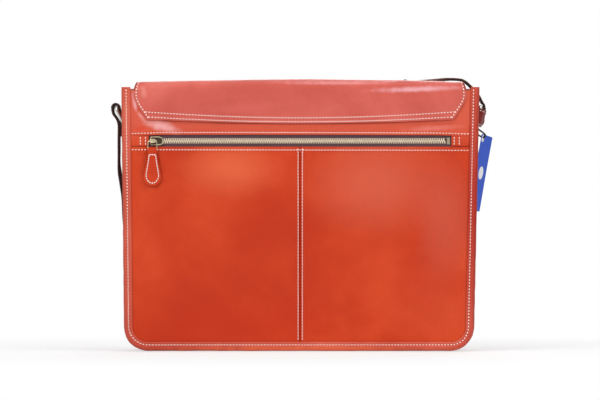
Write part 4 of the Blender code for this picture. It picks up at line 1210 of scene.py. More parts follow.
def buildTapes():
    near, far = zipper["tapeEdges"]
    middle, width, rise = zipper["tapeCord"]
    for label, side in (("Upper", 1), ("Lower", -1)):
        def place(u, v):
            across = near + (far - near) * v
            depth = zipper["tapeFace"] + rise * hump(across, middle, width)
            return Vector(((2 * u - 1) * zipper["tapeHalf"], -depth, zipper["height"] + side * across))

        piece = makeSheet("zipTape" + label, "zip_tape_" + label.lower(), "zipCloth", (60, 14, place), toBack,
                          zipper["tapeThickness"])


def buildZipTabs():
    near = zipper["halfLength"] + zipper["tabGap"]
    length, height = zipper["tabReach"] - near, zipper["tabHeight"]
    for label, side in (("Left", -1), ("Right", 1)):
        def place(u, v):
            x = side * (near + length * u)
            z = zipper["tabLow"] + height * v
            edge = min(u * length, v * height, (1 - v) * height)
            rise = 0.5 * mm * ease(edge, 0.0, 1.2 * mm) + 0.25 * mm * softNoise((x, 0, z), 0.01, 3.0)
            return settle(x, -(zipper["tabFace"] + rise), z)

        makeSheet("zipTab" + label, "zip_tab_" + label.lower(), "panelLeather", (24, 16, place), toBack,
                  zipper["tabThickness"], 0.3 * mm)
        rows = [[settle(side * spot, -zipper["tabRowFace"], z) for z in spread(*zipper["tabRowEnds"], 6)]
                for spot in zipper["tabRows"][side]]
        sewLine("zipTabStitches" + label, rows, toBack, "bag", stitches["finePitch"])


pull = {
    "x": -166.3 * mm,
    "barDepth": -49.1 * mm,
    "barHeight": 226.9 * mm,
    "length": 41 * mm,
    "halfWidth": 10.1 * mm,
    "halfNeck": 5.1 * mm,
    "neckDrop": 3 * mm,
    "roundHeight": 10.4 * mm,  # of the drop's round end
    "roundness": 2.1,
    "leather": 1.3 * mm,
    "gap": 0.25 * mm,
    "fold": 1.65 * mm,
    "foldStart": -12,
    "foldSweep": 204,
    "foldDrop": 3.2 * mm,
    "rim": 0.25 * mm,  # how much the sewn edge stands back
    "rowBend": 198.6 * mm,  # where the row's round end starts, and how deep it goes
    "rowDrop": 9.4 * mm,
    "rowInset": 2.6 * mm,
    "rowHeights": (221.2 * mm, 217 * mm, 212 * mm, 207 * mm, 202 * mm),
    "stitchScale": 1.05,
}


def pullHalfWidth(height):
    bottom = pull["barHeight"] - pull["length"]
    widest = bottom + pull["roundHeight"]
    if height <= widest:
        share = (widest - height) / (widest - bottom)
        return pull["halfWidth"] * math.sqrt(max(1 - share ** pull["roundness"], 0.0))
    share = min((height - widest) / (pull["barHeight"] - pull["neckDrop"] - widest), 1.0)
    return pull["halfWidth"] + (pull["halfNeck"] - pull["halfWidth"]) * ease(share, -0.12, 1.02)


def pullPath(layer):
    # up the front layer, round the bail's bar and down the back layer
    bottom = pull["barHeight"] - pull["length"]
    heights = [bottom + pull["roundHeight"] * (1 - math.cos(turn)) for turn in spread(0, math.pi / 2, 12)]
    heights += spread(heights[-1], pull["barHeight"] - pull["foldDrop"], 12)[1:]
    front = [Vector((pull["barDepth"] + layer, height)) for height in heights]
    fold = arc((pull["barDepth"], pull["barHeight"]), pull["fold"], pull["foldStart"], pull["foldSweep"], 10)
    return front + fold + [Vector((pull["barDepth"] - layer, height)) for height in reversed(heights)]


def buildPull():
    # two layers of leather folded over the bail's bar
    layer = (pull["leather"] + pull["gap"]) / 2
    half = pull["leather"] / 2
    path = pullPath(layer)

    def place(u, v):
        number, facing = bothFaces(v, len(path))
        here, ahead = path[number], aheadAt(path, number)
        aside = -facing * half
        swing = 2 * u - 1
        width = max(pullHalfWidth(here.y), 0.3 * mm)
        if abs(swing) > 0.999:
            aside *= 0.4
        fromEdge = width * (1 - abs(swing))
        rim = pull["rim"] * ease(fromEdge, 0.6 * mm, 2.4 * mm) * (1 - ease(fromEdge, 3.0 * mm, 4.5 * mm))
        aside += math.copysign(rim, aside)
        return Vector((pull["x"] + width * swing, here.x - ahead.y * aside, here.y + ahead.x * aside))

    shape = closeShape(mappedGrid(22, 2 * len(path), place))
    makeObject("pullTab", shape, "panelLeather", "pull", ["zip_pull"], 60)
    face = pull["barDepth"] - layer - half - 0.2 * mm
    low = pull["rowBend"]
    reach = pullHalfWidth(low) - pull["rowInset"]
    bend = [Vector((pull["x"] + reach * math.cos(turn), face, low - pull["rowDrop"] * math.sin(turn)))
            for turn in spread(0, math.pi, 40)]
    right = []
    for height in pull["rowHeights"]:
        inset = 1.6 * mm + 1.0 * mm * ease(pull["rowHeights"][0] - height, 0.0, 20 * mm)
        right.append(Vector((pull["x"] + pullHalfWidth(height) - inset, face, height)))
    left = [Vector((2 * pull["x"] - point.x, point.y, point.z)) for point in reversed(right)]
    sewLine("pullStitches", [right + bend + left, [right[0], left[-1]]], toBack, "pull",
            stitches["finePitch"], pull["stitchScale"])


def polishNode(node, finish, rounding=0.0, smoothing=0):
    # a hard CAD piece keeps its shape and gets its finish and softened edges
    piece = cadNodes[node]
    piece.data.materials.clear()
    piece.data.materials.append(finishes[finish])
    weld = piece.modifiers.new("weld", "WELD")
    weld.merge_threshold = 0.00001
    if rounding:
        addRounding(piece, rounding, 35)
    if smoothing:
        finer = piece.modifiers.new("smoothing", "SUBSURF")
        finer.levels = smoothing
        finer.render_levels = smoothing


sliderCrown = {
    "middle": (-166.1 * mm, -51.35 * mm, 236.8 * mm),
    "half": (4.1 * mm, 0.95 * mm, 2.4 * mm),
    "groove": 0.22 * mm,
    "twist": 4.2,
}


def buildSliderCrown():
    # cap over the slider's bridge with curved grooves
    x, y, z = sliderCrown["middle"]
    long, thick, high = sliderCrown["half"]
    shape = bmesh.new()
    place = Matrix.Translation((x, y, z)) @ Matrix.Diagonal((long, thick, high, 1))
    bmesh.ops.create_uvsphere(shape, u_segments=36, v_segments=18, radius=1, matrix=place)
    for vert in shape.verts:
        local = Vector(((vert.co.x - x) / long, (vert.co.z - z) / high))
        if vert.co.y < y:
            turn = math.atan2(local.y, local.x) * 2 + local.length * sliderCrown["twist"]
            vert.co.y -= sliderCrown["groove"] * math.sin(turn) * min(local.length * 2, 1.0)
    makeObject("sliderCrown", shape, "wornBrass", "slider")


sliderRidge = {
    "start": -169.3 * mm,
    "length": 15 * mm,
    "half": 5 * mm,
    "shield": ((0.0, 0.66), (0.08, 0.98), (0.62, 0.98), (0.92, 0.84), (1.0, 0.54)),
    "inset": 0.9,  # of the plate's outline
    "face": 47.7 * mm,
    "width": 0.5 * mm,
    "height": 0.45 * mm,
}


def buildSliderRidge():
    # raised border round the slider's front plate
    middle = sliderRidge["start"] + sliderRidge["length"] / 2
    long, wide = (sliderRidge[key] * sliderRidge["inset"] for key in ("length", "half"))
    upper = [(middle + (share - 0.5) * long, across * wide) for share, across in sliderRidge["shield"]]
    corners = upper + [(x, -across) for x, across in reversed(upper)]
    corners.append(corners[0])
    line = [Vector((x, -sliderRidge["face"], zipper["height"] + across)) for x, across in corners]
    whole = lineLength(line)

    def place(u, v):
        point, ahead = along(line, whole * (u % 1.0))
        turn = math.tau * v
        level = Vector((-ahead.z, 0, ahead.x)) * sliderRidge["width"] * math.cos(turn)
        return point + level + Vector((0, -sliderRidge["height"] * math.sin(turn), 0))

    makeObject("sliderRidge", closeShape(mappedGrid(96, 10, place)), "wornBrass", "slider", smoothAngle=70)


buildTeeth()
buildTapes()
buildZipTabs()
buildPull()
buildSliderCrown()
buildSliderRidge()
polishNode("zip_slider", "agedBrass", 0.35 * mm)
polishNode("zip_bail", "wornBrass", smoothing=1)
polishNode("zip_bottom_stop", "wornBrass", 0.3 * mm)
print("zip done")

# gusset: leather between the two bindings, sunk in at the sides

gusset = {
    "top": 292 * mm,
    "seam": 34 * mm,
    "overlap": (1 * mm, 2 * mm),  # how far the sides reach below the seam and the bottom piece above it
    "thickness": 1.6 * mm,
    "inset": 8.0 * mm,
    "bottomRise": 7.15 * mm,
    "sink": 12 * mm,
    "sinkLow": 40 * mm,
    "sinkHigh": 192 * mm,
    "topSink": 1.6 * mm,
    "edgeSink": 0.9 * mm,
    "folds": 1.0 * mm,
    "ringHeight": 226 * mm,  # the ring's tab keeps the leather flat here
    "lowFolds": 0.7 * mm,
    "lowFoldTop": 70 * mm,
    "floorWave": 0.15 * mm,
    # inset and depth in mm
    "flange": ((3.1, 39.15), (4.6, 39.15), (6.0, 39.1), (7.2, 38.6), (7.9, 37.5), (8.05, 36.0)),
    "flangeShare": 0.82,  # the grid's rows beyond this are the flange
    "web": 35.2,
}


def gussetSpot(point, out, across):
    # across runs from -1 at the back to 1 at the front
    side = math.copysign(1, across)
    far = abs(across)
    flange = gusset["flange"]
    if far > gusset["flangeShare"]:
        steps = (1 - far) / (1 - gusset["flangeShare"]) * (len(flange) - 1)
        number = min(int(steps), len(flange) - 2)
        inset, depth = Vector(flange[number]).lerp(Vector(flange[number + 1]), steps - number) * mm
        return point - out * inset, side * depth
    depth = far / gusset["flangeShare"] * gusset["web"]
    centre = math.cos(math.pi / 2 * depth / gusset["web"]) ** 2
    low = max(-out.z, 0.0)
    inset = gusset["inset"] - gusset["bottomRise"] * low ** 2 * (1 - ease(depth, 30.5, 35.0))
    if low < 0.01:
        height = point.z
        rise = clampShare((height - gusset["sinkLow"]) / (gusset["sinkHigh"] - gusset["sinkLow"]))
        inset += gusset["sink"] * math.sin(math.pi * rise) ** 1.2 * centre
        inset += gusset["topSink"] * ease(height, 262 * mm, gusset["top"]) * centre
        inset += gusset["edgeSink"] * (1 - ease(depth, 20, 33))
        fold = softNoise((side * depth * mm * 1.2, 0, height * 0.35), 0.016, 21.0 + out.x)
        fromRing = abs(height - gusset["ringHeight"])
        inset += gusset["folds"] * fold * ease(fromRing, 28 * mm, 48 * mm) * centre
        fold = max(0.0, softNoise((depth * mm, out.x, height), 0.012, 31.0))
        inset += gusset["lowFolds"] * fold * ease(gusset["lowFoldTop"] - height, 0, 30 * mm)
    else:
        inset += gusset["floorWave"] * softNoise((point.x, depth * mm, 0), 0.03, 14.0) * (1 - low)
    return point - out * inset, side * depth * mm


def buildGusset():
    line = edgeLine(top=gusset["top"], sideSteps=90)
    low, high = gusset["seam"] - gusset["overlap"][0], gusset["seam"] + gusset["overlap"][1]
    for label, keep in (
        ("Left", lambda spot: spot.x < 0 and spot.z >= low),
        ("Bottom", lambda spot: spot.z <= high),
        ("Right", lambda spot: spot.x > 0 and spot.z >= low),
    ):
        stations = [(spot, out) for spot, out in line if keep(spot)]

        def place(u, v):
            spot, depth = gussetSpot(*stations[round(u * (len(stations) - 1))], 2 * v - 1)
            return settle(spot.x, depth, spot.z)

        middle = sum((out for spot, out in stations), Vector())
        makeSheet("gusset" + label, "gusset_" + label.lower(), "gussetLeather",
                  (len(stations) - 1, 56, place), middle, gusset["thickness"])


buildGusset()
print("gusset done")

# front of the bag under the flap, and the sheet that closes the back pocket

walls = {
    "bottom": 5.2 * mm,
    "inset": 5 * mm,
    "pocketFace": 46.3 * mm,
    "pocketTop": 205 * mm,
    "frontFace": 41.9 * mm,
    "frontTop": outline["height"] - 0.5 * mm,
    "frontThickness": 1.6 * mm,
    "softEdge": 0.3 * mm,
    "visible": 10 * mm,
    "pocketRow": 201.5 * mm,
    "pocketRowInset": 11 * mm,
    "backFace": 41.8 * mm,
    "backThickness": 1.4 * mm,
    "stripHalf": 6.8 * mm,
    "stripFace": 44.3 * mm,
    "stripEnds": (11 * mm, 218 * mm),
    "stripThickness": 0.6 * mm,
}


def frontFace(x, z, onPocket):
    inside = ease(rimDistance(x, z, walls["visible"]), 0.5 * mm, 12 * mm)
    rise = 0.7 * mm * softNoise((x, 0.2, z), 0.07, 17.0) * inside
    if not onPocket:
        return 0.25 * rise
    rise += 0.3 * mm * (1 - ease(walls["pocketTop"] - z, 3.2 * mm, 6 * mm)) * inside
    return min(rise, 0.35 * mm)


def buildFront():
    low = walls["bottom"]
    for name, node, face, top, onPocket in (
        ("frontWall", "front_panel", walls["frontFace"], walls["frontTop"], False),
        ("frontPocket", "front_pocket_panel", walls["pocketFace"], walls["pocketTop"], True),
    ):
        def place(u, v):
            z = low + (top - low) * (1 - (1 - v) ** 1.2)
            x = halfWidthAt(z, walls["inset"]) * (2 * u - 1)
            return settle(x, face + frontFace(x, z, onPocket), z)

        makeSheet(name, node, "gussetLeather", (80, 70, place), toFront,
                  walls["frontThickness"], walls["softEdge"])
    reach = halfWidthAt(outline["upright"], walls["pocketRowInset"])
    z = walls["pocketRow"]
    row = [settle(x, walls["pocketFace"] + frontFace(x, z, True), z) for x in spread(-reach, reach, 100)]
    sewLine("frontPocketStitches", [row], toFront, "bag")


def buildBackWall():
    low, high = walls["bottom"], walls["frontTop"]
    stripLow, stripHigh = walls["stripEnds"]

    def place(u, v):
        z = low + (high - low) * v
        x = halfWidthAt(z, walls["inset"]) * (2 * u - 1)
        return settle(x, -(walls["backFace"] + 0.1 * mm * softNoise((x, 0, z), 0.05, 2.0)), z)

    def strip(u, v):
        z = stripLow + (stripHigh - stripLow) * v
        return Vector(((2 * u - 1) * walls["stripHalf"], -walls["stripFace"], z))

    makeSheet("backWall", "back_wall", "gussetLeather", (60, 50, place), toBack, walls["backThickness"])
    makeSheet("seamStrip", "centre_seam_strip", "gussetLeather", (6, 60, strip), toBack,
              walls["stripThickness"])


# cloth lining and padded divider

lining = {
    "halfWidth": 178.3 * mm,
    "depth": 39.9 * mm,
    "bottom": 9.4 * mm,
    "top": 288.8 * mm,
    "corner": 20 * mm,
    "upright": 7 * mm,  # radius of the upright corners
    "thickness": 0.7 * mm,
}


def buildLining():
    # an open bag: each ring runs round its front, ends and back, and the floor is closed
    corner = lining["upright"]
    depth = lining["depth"]

    def place(u, v):
        z = lining["bottom"] + (lining["top"] - lining["bottom"]) * v ** 1.25
        half = roundedHalf(lining["halfWidth"], lining["corner"], z - lining["bottom"])
        side = int(u * 4) % 4
        swing = (u * 4 - int(u * 4)) * 2 - 1
        facing = 1 if side in (0, 1) else -1
        if side in (0, 2):
            x, y = facing * swing * half, -facing * depth
        else:
            x, y = facing * half, facing * swing * depth
        # rounded upright corners
        over = Vector((max(abs(x) - (half - corner), 0.0), max(abs(y) - (depth - corner), 0.0)))
        if over.x > 0 and over.y > 0:
            pulled = over.normalized() * min(over.length, corner)
            x = math.copysign(half - corner + pulled.x, x)
            y = math.copysign(depth - corner + pulled.y, y)
        inward = 0.7 * mm * abs(softNoise((x, y, z * 0.5), 0.03, 41.0))
        if side in (1, 3):
            # the end walls follow the sunk gusset
            rise = clampShare((z - gusset["sinkLow"]) / (gusset["sinkHigh"] - gusset["sinkLow"]))
            x -= math.copysign(inward + 0.8 * mm * math.sin(math.pi * rise), x)
        else:
            y -= math.copysign(0.25 * mm + inward * 0.4, y)
        return Vector((x, y, z))

    shape = mappedGrid(160, 48, place)
    bmesh.ops.remove_doubles(shape, verts=shape.verts, dist=20 * tiny)
    lowest = [edge for edge in openRim(shape) if edge.verts[0].co.z < lining["bottom"] + 1 * mm]
    bmesh.ops.holes_fill(shape, edges=lowest, sides=0)
    bmesh.ops.recalc_face_normals(shape, faces=shape.faces)
    addThickness(makeObject("clothLining", shape, "liningCloth", "bag", ["lining"]), lining["thickness"])


divider = {
    "low": 10.6 * mm,
    "high": 247.6 * mm,
    "halfWidth": 177.0 * mm,
    "corner": 19 * mm,
    "middle": -8 * mm,
    "halfDepth": 3.6 * mm,
    "edgeShare": 0.35,  # how thick the edge is beside the middle
    "quiltRow": 9 * mm,
    "unevenness": 0.3 * mm,
}


def buildDivider():
    # padded panel, thicker between its edge seam and the middle
    low, high = divider["low"], divider["high"]

    def place(u, v):
        back = v * 2 > 1
        rise = 2 - v * 2 if back else v * 2
        z = low + (high - low) * (1 - math.cos(math.pi * rise)) / 2
        half = roundedHalf(divider["halfWidth"], divider["corner"], z - low)
        x = half * math.sin(math.pi / 2 * (2 * u - 1))
        fromEdge = min(half - abs(x), z - low, high - z)
        filling = divider["edgeShare"] + (1 - divider["edgeShare"]) * ease(fromEdge, 0.0, 5 * mm)
        fat = divider["halfDepth"] * filling * (fromEdge > 10 * tiny)
        fat *= 1 - 0.45 * hump(fromEdge, divider["quiltRow"], 1.6 * mm)
        fat += divider["unevenness"] * softNoise((x, 0, z), 0.05, 51.0) * ease(fromEdge, 12 * mm, 30 * mm)
        return Vector((x, divider["middle"] + (fat if back else -fat), z))

    shape = closeShape(mappedGrid(80, 120, place))
    piece = makeObject("paddedDivider", shape, "liningCloth", "bag", ["laptop_divider"], 60)


buildFront()
buildBackWall()
buildLining()
buildDivider()
polishNode("base_board", "greyBoard", 0.4 * mm)
for side in ("left", "right"):
    polishNode("snap_socket_" + side, "agedBrass")
    polishNode("snap_stud_" + side, "agedBrass")
print("front and inside done")

# strap rings, their tabs, the shoulder strap and the hang tag

rings = {
    "pivotX": 197.4 * mm,
    "pivotZ": 251.3 * mm,
    "wire": 1.75 * mm,
    "width": 29.5 * mm,
    "height": 26.5 * mm,
    "corner": 4 * mm,
    "lean": {-1: 26, 1: 18},
}


def ringAxes(side):
    lean = math.radians(rings["lean"][side])
    up = Vector((side * math.sin(lean), 0, math.cos(lean)))
    return Vector((side * rings["pivotX"], 0, rings["pivotZ"])), up, Vector((side * up.z, 0, -side * up.x))


def closedWire(line, radius, sides, toSpot):
    # round wire along a closed flat line; toSpot(flat, proud) places a point of its surface
    def place(u, v):
        number = round(u * len(line)) % len(line)
        ahead = (line[(number + 1) % len(line)] - line[number - 1]).normalized()
        turn = math.tau * v
        flat = line[number] + Vector((ahead.y, -ahead.x)) * radius * math.cos(turn)
        return toSpot(flat, radius * math.sin(turn))

    return closeShape(mappedGrid(len(line), sides, place))


def buildRing(name, side, node):
    # round wire bent to a rectangle with round corners
    pivot, up, out = ringAxes(side)
    corner = rings["corner"]
    half = rings["width"] / 2 - corner
    far = rings["height"] - corner
    centres = ((half, corner), (half, far), (-half, far), (-half, corner))
    line = sum((arc(centre, corner, 90 * number - 90, 90, 8) for number, centre in enumerate(centres)), [])

    def toSpot(flat, proud):
        return pivot + Vector((0, flat.x, 0)) + up * flat.y + out * proud

    makeObject(name, closedWire(line, rings["wire"], 20, toSpot), "ringSteel", node, [node], 80)


def bandColumn(u, segments):
    # across the band from -1 to 1 on its face, then back again below it
    column = round(u * (2 * segments + 2)) % (2 * segments + 2)
    if column <= segments:
        return 2 * column / segments - 1, 1
    return 1 - 2 * (column - segments - 1) / segments, -1


ringTabs = {
    "inner": 193.1 * mm,
    "leather": 1.4 * mm,
    "gap": 0.3 * mm,
    "eyeRoom": 0.35 * mm,
    "bottom": 200 * mm,
    "top": 243 * mm,
    "half": 10 * mm,
    "waist": 0.24 * mm,
    "segments": 12,
    "softEdge": 0.35,
    "row": (7.4 * mm, 203 * mm, 240 * mm),  # half width, lowest and highest stitch
    "crossTop": 222 * mm,
    "rowLift": 0.05 * mm,
}


def buildRingTab(name, side, node):
    leather, low, high = (ringTabs[key] for key in ("leather", "bottom", "top"))
    inner = ringTabs["inner"] + leather / 2
    outer = inner + leather + ringTabs["gap"]
    eye = rings["wire"] + ringTabs["eyeRoom"] + leather / 2
    path = [Vector((inner, height)) for height in spread(low, high, 14)]
    path += arc((rings["pivotX"], rings["pivotZ"]), eye, 180, -210, 14)
    path += [Vector((outer, height)) for height in spread(high, low, 14)]

    def place(u, v):
        number = round(v * (len(path) - 1))
        across, facing = bandColumn(u, ringTabs["segments"])
        aside = facing * leather / 2 * (ringTabs["softEdge"] if abs(across) > 0.999 else 1)
        ahead = aheadAt(path, number)
        spot = path[number] + Vector((-ahead.y, ahead.x)) * aside
        half = ringTabs["half"] - ringTabs["waist"] * ease(abs(number - len(path) // 2), 12, 20)
        return Vector((side * spot.x, across * half, spot.y))

    shape = closeShape(mappedGrid(2 * ringTabs["segments"] + 2, len(path) - 1, place))
    makeObject(name, shape, "rimLeather", "bag", [node], 60)
    half, bottom, top = ringTabs["row"]
    x = side * (outer + leather / 2 + ringTabs["rowLift"])
    rows = (
        ((-half, top), (-half, bottom), (half, bottom), (half, top), (-half, top)),
        ((-half, bottom), (half, ringTabs["crossTop"])),
        ((half, bottom), (-half, ringTabs["crossTop"])),
    )
    sewLine(name + "Stitches", [[Vector((x, y, z)) for y, z in row] for row in rows], (side, 0, 0), "bag",
            stitches["finePitch"])


strap = {
    "width": 19.5 * mm,
    "thickness": 2.6 * mm,
    "slack": 0.4 * mm,
    "lift": 0.45 * mm,
    "segments": 14,
    "border": 0.25 * mm,  # the sewn border stands above the strap's middle
    "row": 2.2 * mm,  # from the strap's edge
    "rowSink": 0.12 * mm,
    "steps": 8,  # between two places of the route
    "cuts": (19, -18),  # places on the route where the ends meet the middle
    "rightBend": ("bag", "ring_right", (0.2036, 0.0266, 0.2870), (0.2075, -0.0050, 0.2625)),
    "leftBend": ("bag", "ring_left", (-0.2045, 0.0300, 0.1950), (-0.2070, 0.0000, 0.2660)),
    # offsets in mm from where each stretch starts, with the direction of the strap's width
    "runs": (
        ((200, 0, 251.3), (
            ((9.4, 17.5, 14), (0.15, -0.35, 0.93)), ((9.6, 24, 19.5), (0.05, -0.75, 0.66)),
            ((9.2, 26.8, 26.5), (0, -1, 0.08)), ((6.6, 26.8, 31.5), (0, -1, 0)),
        )),
        ((200, 0, 302), (
            ((3.6, 26.6, -13.4), (0, -1, 0)), ((-2.6, 26.4, -5.8), (0, -1, 0)),
            ((-7.4, 26.6, -0.8), (0, -1, 0)), ((-12.4, 27.2, 3.2), (0, -1, 0)),
            ((-18, 28.5, 5.3), (-0.1, -0.99, 0)),
            ((-31, 33, 6.0), (-0.25, -0.97, 0)), ((-46, 39.5, 4.7), (-0.45, -0.89, 0)),
            ((-60, 46.5, 3.6), (-0.55, -0.83, 0)),
        )),
        ((0, 51.4, 302), (
            ((129, 1.6, 1.7), (-0.7, -0.6, 0)), ((121, 2.6, -5), (-0.8, -0.15, 0.55)),
            ((113, 2.2, -24), (-0.93, 0, 0.37)), ((104, 2, -62), (-0.97, 0, 0.25)),
            ((96, 2.2, -112), (-0.99, 0, 0.15)),
        )),
        ((0, 51.4, 0), (
            ((90, 4, 135), (-1, 0, 0.1)), ((86, 10, 85), (-1, 0, 0.1)), ((77, 23, 42), (-0.85, -0.1, 0.5)),
            ((57, 44, 18), (-0.4, -0.1, 0.9)), ((28, 69, 11.65), (-0.1, 0, 1)), ((-12, 90, 11.15), (0, 0, 1)),
            ((-60, 97, 11.15), (0, 0, 1)), ((-100, 87, 11.65), (0.05, 0, 1)),
            ((-132, 67, 19), (0.3, 0.1, 0.95)), ((-158, 47, 40), (0.6, 0.2, 0.75)),
            ((-180, 31, 75), (0.75, 0.45, 0.45)),
            ((-193, 20, 112), (0.6, 0.75, 0.25)),
        )),
        ((-200, 0, 251.3), (
            ((0.5, 62, -104), (0.3, 0.93, 0.25)), ((-2.3, 50, -76), (0.05, 0.8, 0.6)),
            ((-4.2, 34, -60), (0, 0.75, 0.65)), ((-6, 18, -44), (0, 0.8, 0.6)),
            ((-5.6, 6, -28), (0, 0.96, 0.28)),
        )),
    ),
}


def rightTurn(half, turnRadius):
    # out of the seam, round the side bar of the right ring and away
    pivot, up, out = ringAxes(1)
    base = pivot + up * (rings["height"] / 2 + strap["lift"]) - Vector((0, rings["width"] / 2, 0))
    inner = rings["wire"] + 0.3 * mm + half
    outer = inner + strap["thickness"] + strap["slack"]
    places = [(inner, 23 * mm), (inner, 16 * mm), (0.7 * inner, 10.5 * mm), (-0.4 * inner, 5.5 * mm)]
    places += arc((0, 0), turnRadius, 180, 180, 6)
    places += [(outer - 1.2 * mm, 7 * mm), (outer, 13.5 * mm), (outer, 21 * mm)]
    return [(base + out * across + Vector((0, depth, 0)), up) for across, depth in places]


def leftTurn(half, turnRadius):
    # up outside the left ring's tab, over the ring's top bar and down to its seam
    pivot, up, _ = ringAxes(-1)
    bar = pivot + up * rings["height"]
    tabFace = rings["pivotX"] + rings["wire"] + 2.0 * mm
    near = -(tabFace + half)
    far = near - strap["thickness"] - strap["slack"]
    inside = bar.x + turnRadius
    rising = ((far, -12.5), (far, 3.5), (far - 1.9 * mm, 10.5), (bar.x - 0.7 * turnRadius, 17))
    falling = ((0.5 * (near + inside), 17), (near - 0.5 * mm, 11), (near, 5), (near, -9))
    over = [(spot.x, (spot.y - pivot.z) / mm) for spot in arc((bar.x, bar.z), turnRadius, 180, -180, 6)]
    places = (*rising, *over, *falling)
    return [(Vector((x, 0, pivot.z + rise * mm)), Vector(toFront)) for x, rise in places]


def strapRoute():
    half = strap["thickness"] / 2
    turnRadius = rings["wire"] + 0.3 * mm + strap["slack"] + half
    route = rightTurn(half, turnRadius)
    for start, run in strap["runs"]:
        route += [((Vector(start) + Vector(place)) * mm, Vector(width)) for place, width in run]
    return route + leftTurn(half, turnRadius)


def smoothRoute(route, steps):
    # a curve through all the places
    smooth = []
    for here in range(len(route) - 1):
        four = [route[min(max(here + shift, 0), len(route) - 1)] for shift in (-1, 0, 1, 2)]
        for step in range(steps):
            share = step / steps
            pair = []
            for kind in (0, 1):
                a, b, c, d = (entry[kind] for entry in four)
                bend = 2 * b + (c - a) * share + (2 * a - 5 * b + 4 * c - d) * share ** 2
                pair.append(0.5 * (bend + (3 * b - a - 3 * c + d) * share ** 3))
            smooth.append(tuple(pair))
    smooth.append(route[-1])
    return smooth


def buildStrap():
    route = smoothRoute(strapRoute(), strap["steps"])
    points = [point for point, width in route]
    frames = []
    tree = kdtree.KDTree(len(route))
    for number, (point, width) in enumerate(route):
        ahead = aheadAt(points, number)
        across = (width - ahead * width.dot(ahead)).normalized()
        frames.append((point, across, ahead.cross(across)))
        tree.insert(point, number)
    tree.balance()

    def outAt(point):
        return frames[tree.find(point)[1]][2]

    # the strap is cut into three pieces: the two ends at their rings, which keep their place, and the long
    # middle, attached to the bag, which keeps its drape
    first, last = (strap["steps"] * cut for cut in strap["cuts"])
    last += len(frames) - 1
    buildStrapPart("strapEndRight", frames[:first + 1], outAt, strap["rightBend"])
    buildStrapPart("shoulderStrap", frames[first:last + 1], outAt, "bag", ["shoulder_strap"])
    buildStrapPart("strapEndLeft", frames[last:], outAt, strap["leftBend"])


def buildStrapPart(name, part, outAt, body, stands=()):
    half = strap["width"] / 2
    thick = strap["thickness"] / 2

    def place(u, v):
        point, across, out = part[round(v * (len(part) - 1))]
        swing, facing = bandColumn(u, strap["segments"])
        fromEdge = (1 - abs(swing)) * half
        swell = 1 - ease(fromEdge, 2.6 * mm, 5 * mm) + 0.6 * hump(fromEdge, strap["row"], 0.7 * mm)
        aside = facing * (thick + strap["border"] * swell)
        if abs(swing) > 0.999:
            aside *= 0.4
        elif fromEdge < 1.5 * mm:
            aside *= 0.86
        return point + across * half * swing + out * aside

    shape = closeShape(mappedGrid(2 * strap["segments"] + 2, len(part) - 1, place))
    piece = makeObject(name, shape, "strapFace", None, stands, 70)
    piece.data.materials.append(finishes["strapBack"])
    # the burgundy face looks along the route's outward side; the plain back and the edges are dark, the edges
    # from their own black paint and the back as painted shade of the strap's underside
    for face in piece.data.polygons:
        face.material_index = 0 if face.normal.dot(outAt(face.center)) > 0.5 else 1
    carry(piece, body)
    for facing, label in ((1, "FaceStitches"), (-1, "BackStitches")):
        above = facing * (thick - strap["rowSink"])
        paths = []
        for beside in (strap["row"] - half, half - strap["row"]):
            paths.append([point + across * beside + out * above for point, across, out in part])
        sewLine(name + label, paths, lambda point: outAt(point) * facing, body)


for label, side in (("Left", -1), ("Right", 1)):
    buildRing("ring" + label, side, "ring_" + label.lower())
    buildRingTab("ring" + label + "Tab", side, "ring_tab_" + label.lower())
buildStrap()
print("strap and rings done")

# card hang tag on a loop of cord

tag = {
    "hole": Vector((207.6, 11.5, 240.1)) * mm,
    "across": Vector((-14, -36, 4)).normalized(),
    "down": Vector((-15, -3.6, -85)).normalized(),
    "size": (36 * mm, 86.4 * mm),
    "holeInset": 4.5 * mm,
    "holeDrop": 5 * mm,
    "holeRadius": 2.4 * mm,
    "corner": 3 * mm,
    "thickness": 0.8 * mm,
    "softEdge": 0.15 * mm,
    "bow": 0.6 * mm,
    "disc": 7.5 * mm,
    "eyelet": 3.9 * mm,
    "proud": 0.12 * mm,  # how far the disc and the eyelet stand out on both faces
    "cord": 0.95 * mm,  # half the cord's width
    "ringReach": 3.0 * mm,
    "ribReach": 2.4 * mm,
    "ribAbove": 3.7 * mm,
}


def cardSpot(a, b, proud):
    # a across and b down from the hole, in the card's plane
    return tag["hole"] + tag["across"] * a + tag["down"] * b + tag["across"].cross(tag["down"]) * proud


def cardEdge(share):
    # place on the card's outline; the two upper corners are rounded
    width, height = tag["size"]
    left, top = tag["holeInset"] - width, -tag["holeDrop"]
    corners = [Vector((left, top)), Vector((left + width, top)), Vector((left + width, top + height)),
               Vector((left, top + height)), Vector((left, top))]
    a, b = along(corners, share * 2 * (width + height))[0]
    corner = tag["corner"]
    fromMiddle = a - left - width / 2
    over = Vector((max(abs(fromMiddle) - width / 2 + corner, 0.0), max(top + corner - b, 0.0)))
    if over.x > 0 and over.y > 0:
        pulled = over.normalized() * corner
        a += math.copysign(pulled.x - over.x, fromMiddle)
        b -= pulled.y - over.y
    return a, b


def cardBow(a, b):
    return tag["bow"] * softNoise((a, b, 0), 0.05, 61.0)


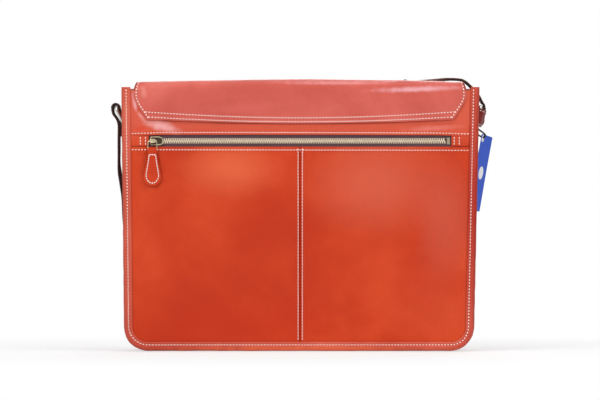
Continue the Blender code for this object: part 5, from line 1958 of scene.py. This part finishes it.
def makePaper(name, finish, grid, thickness, softEdge=0.0, stands=()):
    shape = mappedGrid(*grid)
    bmesh.ops.remove_doubles(shape, verts=shape.verts, dist=tiny)
    turnOutwards(shape, tag["across"].cross(tag["down"]))
    addThickness(makeObject(name, shape, finish, "tag", stands), thickness, softEdge)


def buildTag():
    face = tag["thickness"] / 2

    def card(u, v):
        a, b = cardEdge(u % 1.0)
        turn = math.atan2(b, a)
        nearA, nearB = tag["holeRadius"] * math.cos(turn), tag["holeRadius"] * math.sin(turn)
        proud = face + cardBow(a, b) * ease(v, 0.2, 1.0)
        return cardSpot(nearA + (a - nearA) * v, nearB + (b - nearB) * v, proud)

    makePaper("hangTag", "tagCard", (160, 10, card), tag["thickness"], tag["softEdge"], ["hang_tag"])
    middle = (tag["holeInset"] - tag["size"][0] / 2, tag["size"][1] / 2 - tag["holeDrop"])
    for name, centre, outer, inner in (
        ("tagDisc", middle, tag["disc"], 0.0),
        ("tagEyelet", (0, 0), tag["eyelet"], tag["holeRadius"]),
    ):
        def disc(u, v):
            turn = math.tau * u
            reach = inner + (outer - inner) * v
            a, b = centre[0] + reach * math.cos(turn), centre[1] + reach * math.sin(turn)
            return cardSpot(a, b, face + tag["proud"] + cardBow(a, b))

        makePaper(name, "whiteCard", (48, 6, disc), tag["thickness"] + 2 * tag["proud"])


def buildTagLoop():
    # the cord runs round the ring's wire and through the card's hole
    pivot = Vector((rings["pivotX"], tag["hole"].y, rings["pivotZ"]))
    rib = tag["hole"] - tag["down"] * tag["ribAbove"]
    aim = math.degrees(math.atan2(rib.z - pivot.z, rib.x - pivot.x))
    line = arc((rib.x, rib.z), tag["ribReach"], aim - 90, 180, 12)
    line += arc((pivot.x, pivot.z), tag["ringReach"], aim + 90, 180, 12)

    def toSpot(flat, proud):
        return Vector((flat.x, pivot.y + proud, flat.y))

    makeObject("tagLoop", closedWire(line, tag["cord"], 14, toSpot), "blackCord", "tag", ["tag_loop"], 80)


buildTag()
buildTagLoop()
print("tag done")
